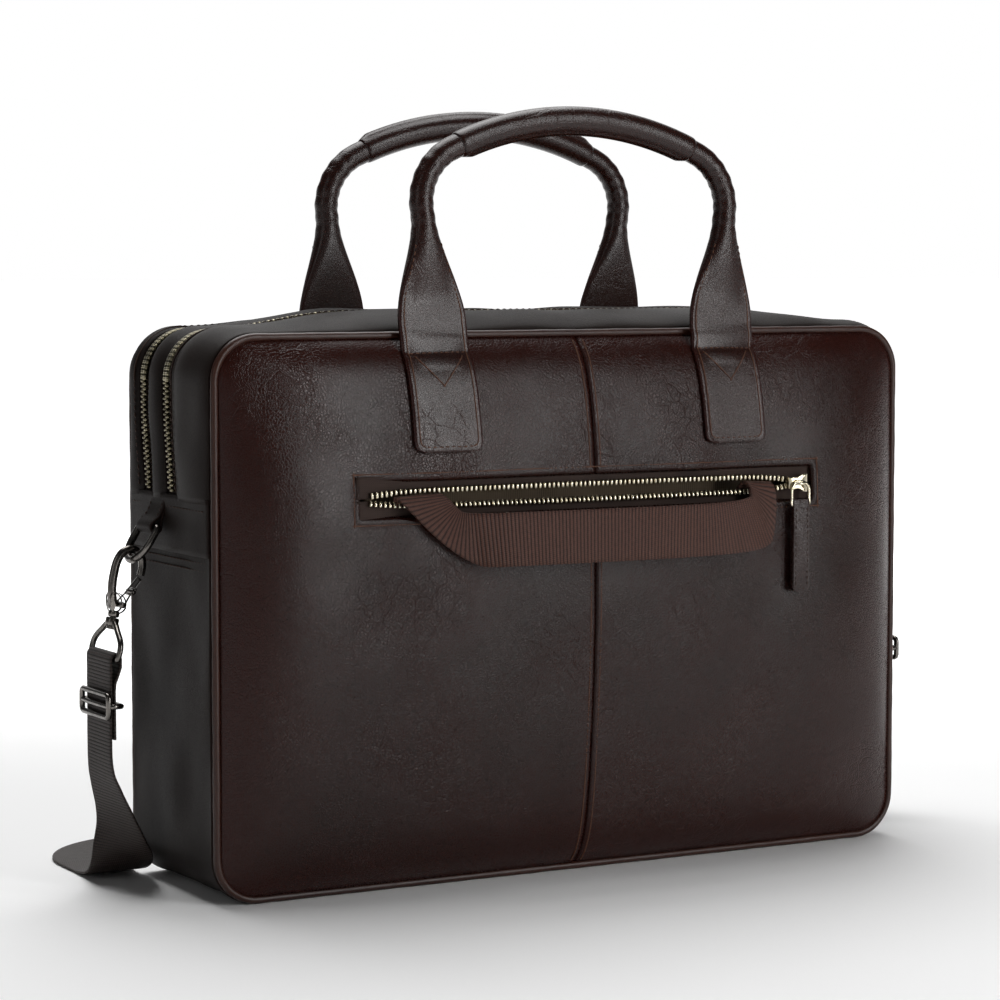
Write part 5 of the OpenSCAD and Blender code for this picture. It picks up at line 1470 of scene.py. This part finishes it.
def adjuster(side, label):
    """Wire frame outside the strap, its middle bar, the bar inside the strap and the two posts that
    join them."""
    z = FOLD_Z - 23 * MM
    half_y, half_z = STRAP_W / 2 + 2.1 * MM, 5.6 * MM
    corner = np.linspace(0, np.pi / 2, 6)
    r = 2 * MM
    quarter = np.stack([half_y - r + r * np.cos(corner), half_z - r + r * np.sin(corner)], -1)
    loop = np.concatenate([quarter, quarter[::-1] * [-1, 1], quarter * [-1, -1], quarter[::-1] * [1, -1]])
    loop, _ = resampled(np.concatenate([loop, loop[:1]]), 1.5 * MM)
    loop = loop[:-1]
    outer = np.stack([side * OUTER_BAR_X + 0 * loop[:, 0], CHAIN_Y + loop[:, 0], z + loop[:, 1]], -1)
    y = np.linspace(-half_y, half_y, 24)
    bowed_out = 0.3 * MM * np.cos(y / half_y * np.pi / 2)
    bar = np.stack([side * (OUTER_BAR_X + bowed_out), CHAIN_Y + y, z + 0 * y], -1)
    inner = bar.copy()
    inner[:, 0] = side * INNER_BAR_X
    bars = [tube(outer, 1.45 * MM, (1, 0, 0), 12, closed=True), tube(bar, 1.3 * MM, (0, 0, 1), 12),
            tube(inner, 1.3 * MM, (0, 0, 1), 12)]
    for end_y in (CHAIN_Y - half_y, CHAIN_Y + half_y):
        post = [(side * x, end_y, z) for x in (OUTER_BAR_X, HANG_X - 1 * MM, INNER_BAR_X)]
        bars.append(tube(post, 1.4 * MM, (0, 0, 1), 12))
    piece(label + "_adjuster_frame", merged([(v, outward(v, f)) for v, f in bars]), gunmetal,
          label + "_strap_adjuster", [label + "_strap_adjuster"])


adjuster(-1, "left")
adjuster(1, "right")


# ------------------------------------------------------------------ inside
LINING_INSET = 5.2 * MM
CUSHION_R = 18 * MM


def rounded_grid(half, low, high, r, nx=60, nz=44):
    """Grid over a rounded rectangle: square corner cells squeezed onto quarter discs."""
    x, z = np.meshgrid(np.linspace(-half, half, nx), np.linspace(low, high, nz), indexing="ij")
    a = np.clip((np.abs(x) - (half - r)) / r, 0, 1)
    b = np.clip(np.maximum(low + r - z, z - (high - r)) / r, 0, 1)
    middle = np.clip(z, low + r, high - r)
    return (np.sign(x) * (np.minimum(np.abs(x), half - r) + r * a * np.sqrt(1 - b * b / 2)),
            middle + np.sign(z - middle) * r * b * np.sqrt(1 - a * a / 2),
            np.minimum(half - np.abs(x), np.minimum(z - low, high - z)))


def between(near, far):
    """Closed skin over two grids of points that face each other."""
    return np.concatenate([near.reshape(-1, 3), far.reshape(-1, 3)]), shell(near, 0.0)[1]


def cushion(name, y0, y1, low, high, nodes, blend=None, quilt=0.0):
    """Padded board between depths y0 and y1: thickest in the middle, thin at its rim, with stitched
    quilt lines."""
    x, z, edge = rounded_grid(BODY_W / 2 - LINING_INSET, low, high, CUSHION_R)
    y, thick = (y0 + y1) / 2, y1 - y0
    lines = np.minimum(np.abs(np.sin(x / (48 * MM) * np.pi)), np.abs(np.sin(z / (48 * MM) * np.pi)))
    full = (0.35 + 0.65 * (1 - np.exp(-edge / (6 * MM)))) * (1 - quilt * np.exp(-lines / 0.08))
    skins = [np.stack([x, y + way * thick / 2 * full, z], -1) for way in (-1, 1)]
    piece(name, between(*skins), lining_cloth, "case", nodes, blend=blend)


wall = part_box("padded_back_wall")
cushion("padded_wall_cloth", wall[LOW].y, wall[HIGH].y, wall[LOW].z, wall[HIGH].z - 0.6 * MM,
        ["padded_back_wall"],
        quilt=0.45)
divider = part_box("divider_lower")
cushion("divider_cloth", divider[LOW].y, divider[HIGH].y, divider[LOW].z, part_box("divider_upper")[HIGH].z,
        ["divider_lower", "divider_upper"], blend=MIDDLE_FOLD)


def base_board():
    """Stiff board on the floor of the case, thinner at its rim."""
    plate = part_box("base_board")
    along_x = np.linspace(plate[LOW].x, plate[HIGH].x, 60)
    along_y = np.linspace(plate[LOW].y, plate[HIGH].y, 18)
    x, y = np.meshgrid(along_x, along_y, indexing="ij")
    edge = np.minimum(plate[HIGH].x - np.abs(x), plate[HIGH].y - np.abs(y))
    eased = 0.6 * MM * np.exp(-edge / (2 * MM))
    top, bottom = plate[HIGH].z - eased, plate[LOW].z + eased
    return between(np.stack([x, y, top], -1), np.stack([x, y, bottom], -1))


piece("base_board_cloth", base_board(), board, "case", ["base_board"])


def pouch():
    """Cloth bag behind the back pocket: a flattened loop stacked from its floor to its top, open at
    the mouth."""
    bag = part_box("back_pocket_pouch")
    half = bag[HIGH].x
    z = np.linspace(bag[LOW].z, bag[HIGH].z, 70)
    t = np.linspace(0, 2 * np.pi, 121)
    x = half * np.sign(np.cos(t)) * np.abs(np.cos(t)) ** 0.25
    share = np.sign(np.sin(t)) * np.abs(np.sin(t)) ** 0.25
    gx, gz = np.meshgrid(x, z, indexing="ij")
    front_y = back.at(gx, gz)[..., 1] + 3.4 * MM
    back_y = bag[HIGH].y - 0.8 * MM
    end = np.minimum(gz - bag[LOW].z, bag[HIGH].z - gz)
    fill = 0.12 + 0.88 * (1 - np.exp(-end / (7 * MM)))
    middle = (front_y + back_y) / 2 + (back_y - front_y) * 0.2 * (1 - fill)
    y = middle + (back_y - front_y) / 2 * fill * share[:, None]
    points = np.stack([gx, y, gz], -1)
    front_side = share[:-1, None] + share[1:, None] < -1.0
    mid_z = (z[1:] + z[:-1]) / 2
    between_ends = np.abs(x[:-1] + x[1:])[:, None] / 2 < half - 4 * MM
    mouth = front_side & between_ends & (mid_z > WINDOW_LO) & (mid_z < WINDOW_HI)
    verts, faces, _ = shell(points, 0.6 * MM, ~mouth)
    return verts, faces


piece("pocket_pouch_cloth", pouch(), lining_cloth, "case", ["back_pocket_pouch"])


# ------------------------------------------------------------------ camera, light and floor
VIEW_TURN = math.radians(29.384)
VIEW = (math.sin(VIEW_TURN), math.cos(VIEW_TURN), 0.0)
WHITE = (1.0, 1.0, 1.0, 1.0)
FLOOR_GREY = (0.92, 0.92, 0.92, 1.0)
FLOOR_HALF = 40.0


def studio_world():
    """White behind the case, and dim on the camera's side so that the strip lights show in the leather."""
    world = bpy.data.worlds.new("studio")
    world.use_nodes = True
    net = Net(world.node_tree)
    way = net.add("ShaderNodeTexCoord").outputs["Generated"]
    along = net.add("ShaderNodeVectorMath", {"operation": "DOT_PRODUCT"}, i0=way, i1=VIEW).outputs["Value"]
    height = net.math("ABSOLUTE", net.add("ShaderNodeSeparateXYZ", Vector=way).outputs["Z"])
    band = net.ramp(height, 0.02, 0.3, 0.25, 0.04)
    level = net.math("MAXIMUM", net.ramp(along, 0.7, 0.9, 0.0, 1.0), band)
    back = world.node_tree.nodes["Background"]
    back.inputs["Color"].default_value = WHITE
    world.node_tree.links.new(level, back.inputs["Strength"])
    return world


def softbox(name, azimuth, distance, height, size, power, aim=(0.0, 0.0, 0.18)):
    """Rectangular light at an azimuth (degrees from straight in front, + to the right), aimed at the case."""
    a = math.radians(azimuth)
    place = np.array([distance * math.sin(a), -distance * math.cos(a), height])
    way = unit(np.array(aim) - place)
    lamp = bpy.data.lights.new(name, "AREA")
    lamp.shape = "RECTANGLE"
    lamp.size, lamp.size_y = size
    lamp.energy = power
    obj = bpy.data.objects.new(name, lamp)
    obj.location = place
    obj.rotation_euler = (math.acos(-way[2]), 0.0, math.atan2(-way[0], way[1]))
    bpy.context.scene.collection.objects.link(obj)


def studio():
    """Camera, lights, floor and world."""
    scene = bpy.context.scene
    data = bpy.data.cameras.new("camera")
    data.sensor_width = 36.0
    data.lens = 112.14
    camera = bpy.data.objects.new("camera", data)
    camera.location = (-0.8225, -1.4336, 0.3178)
    camera.rotation_euler = (math.radians(85.578), 0.0, -VIEW_TURN)
    scene.collection.objects.link(camera)
    scene.camera = camera
    scene.world = studio_world()
    scene.view_settings.view_transform = "Standard"
    softbox("strip", 18, 2.0, 0.75, (0.26, 1.7), 16.0)
    softbox("narrow_strip", 34, 2.3, 0.75, (0.14, 1.7), 9.0)
    softbox("left_fill", -70, 2.2, 0.9, (0.5, 1.4), 2.5)
    softbox("top", 165, 0.8, 2.3, (2.0, 2.0), 60.0)
    floor = bpy.data.meshes.new("floor")
    corners = [(x * FLOOR_HALF, y * FLOOR_HALF, 0) for x, y in ((-1, -1), (1, -1), (1, 1), (-1, 1))]
    floor.from_pydata(corners, [], [(0, 1, 2, 3)])
    mat = bpy.data.materials.new("floor")
    mat.use_nodes = True
    net = Net(mat.node_tree)
    shader = mat.node_tree.nodes["Principled BSDF"]
    shader.inputs["Base Color"].default_value = FLOOR_GREY
    shader.inputs["Roughness"].default_value = 0.8
    shader.inputs["Emission Color"].default_value = WHITE
    place = net.add("ShaderNodeTexCoord").outputs["Object"]
    behind = net.add("ShaderNodeVectorMath", {"operation": "DOT_PRODUCT"}, i0=place, i1=VIEW).outputs["Value"]
    mat.node_tree.links.new(net.ramp(behind, 0.15, 1.6, 0.0, 0.95), shader.inputs["Emission Strength"])
    floor.materials.append(mat)
    obj = bpy.data.objects.new("floor", floor)
    scene.collection.objects.link(obj)


studio()
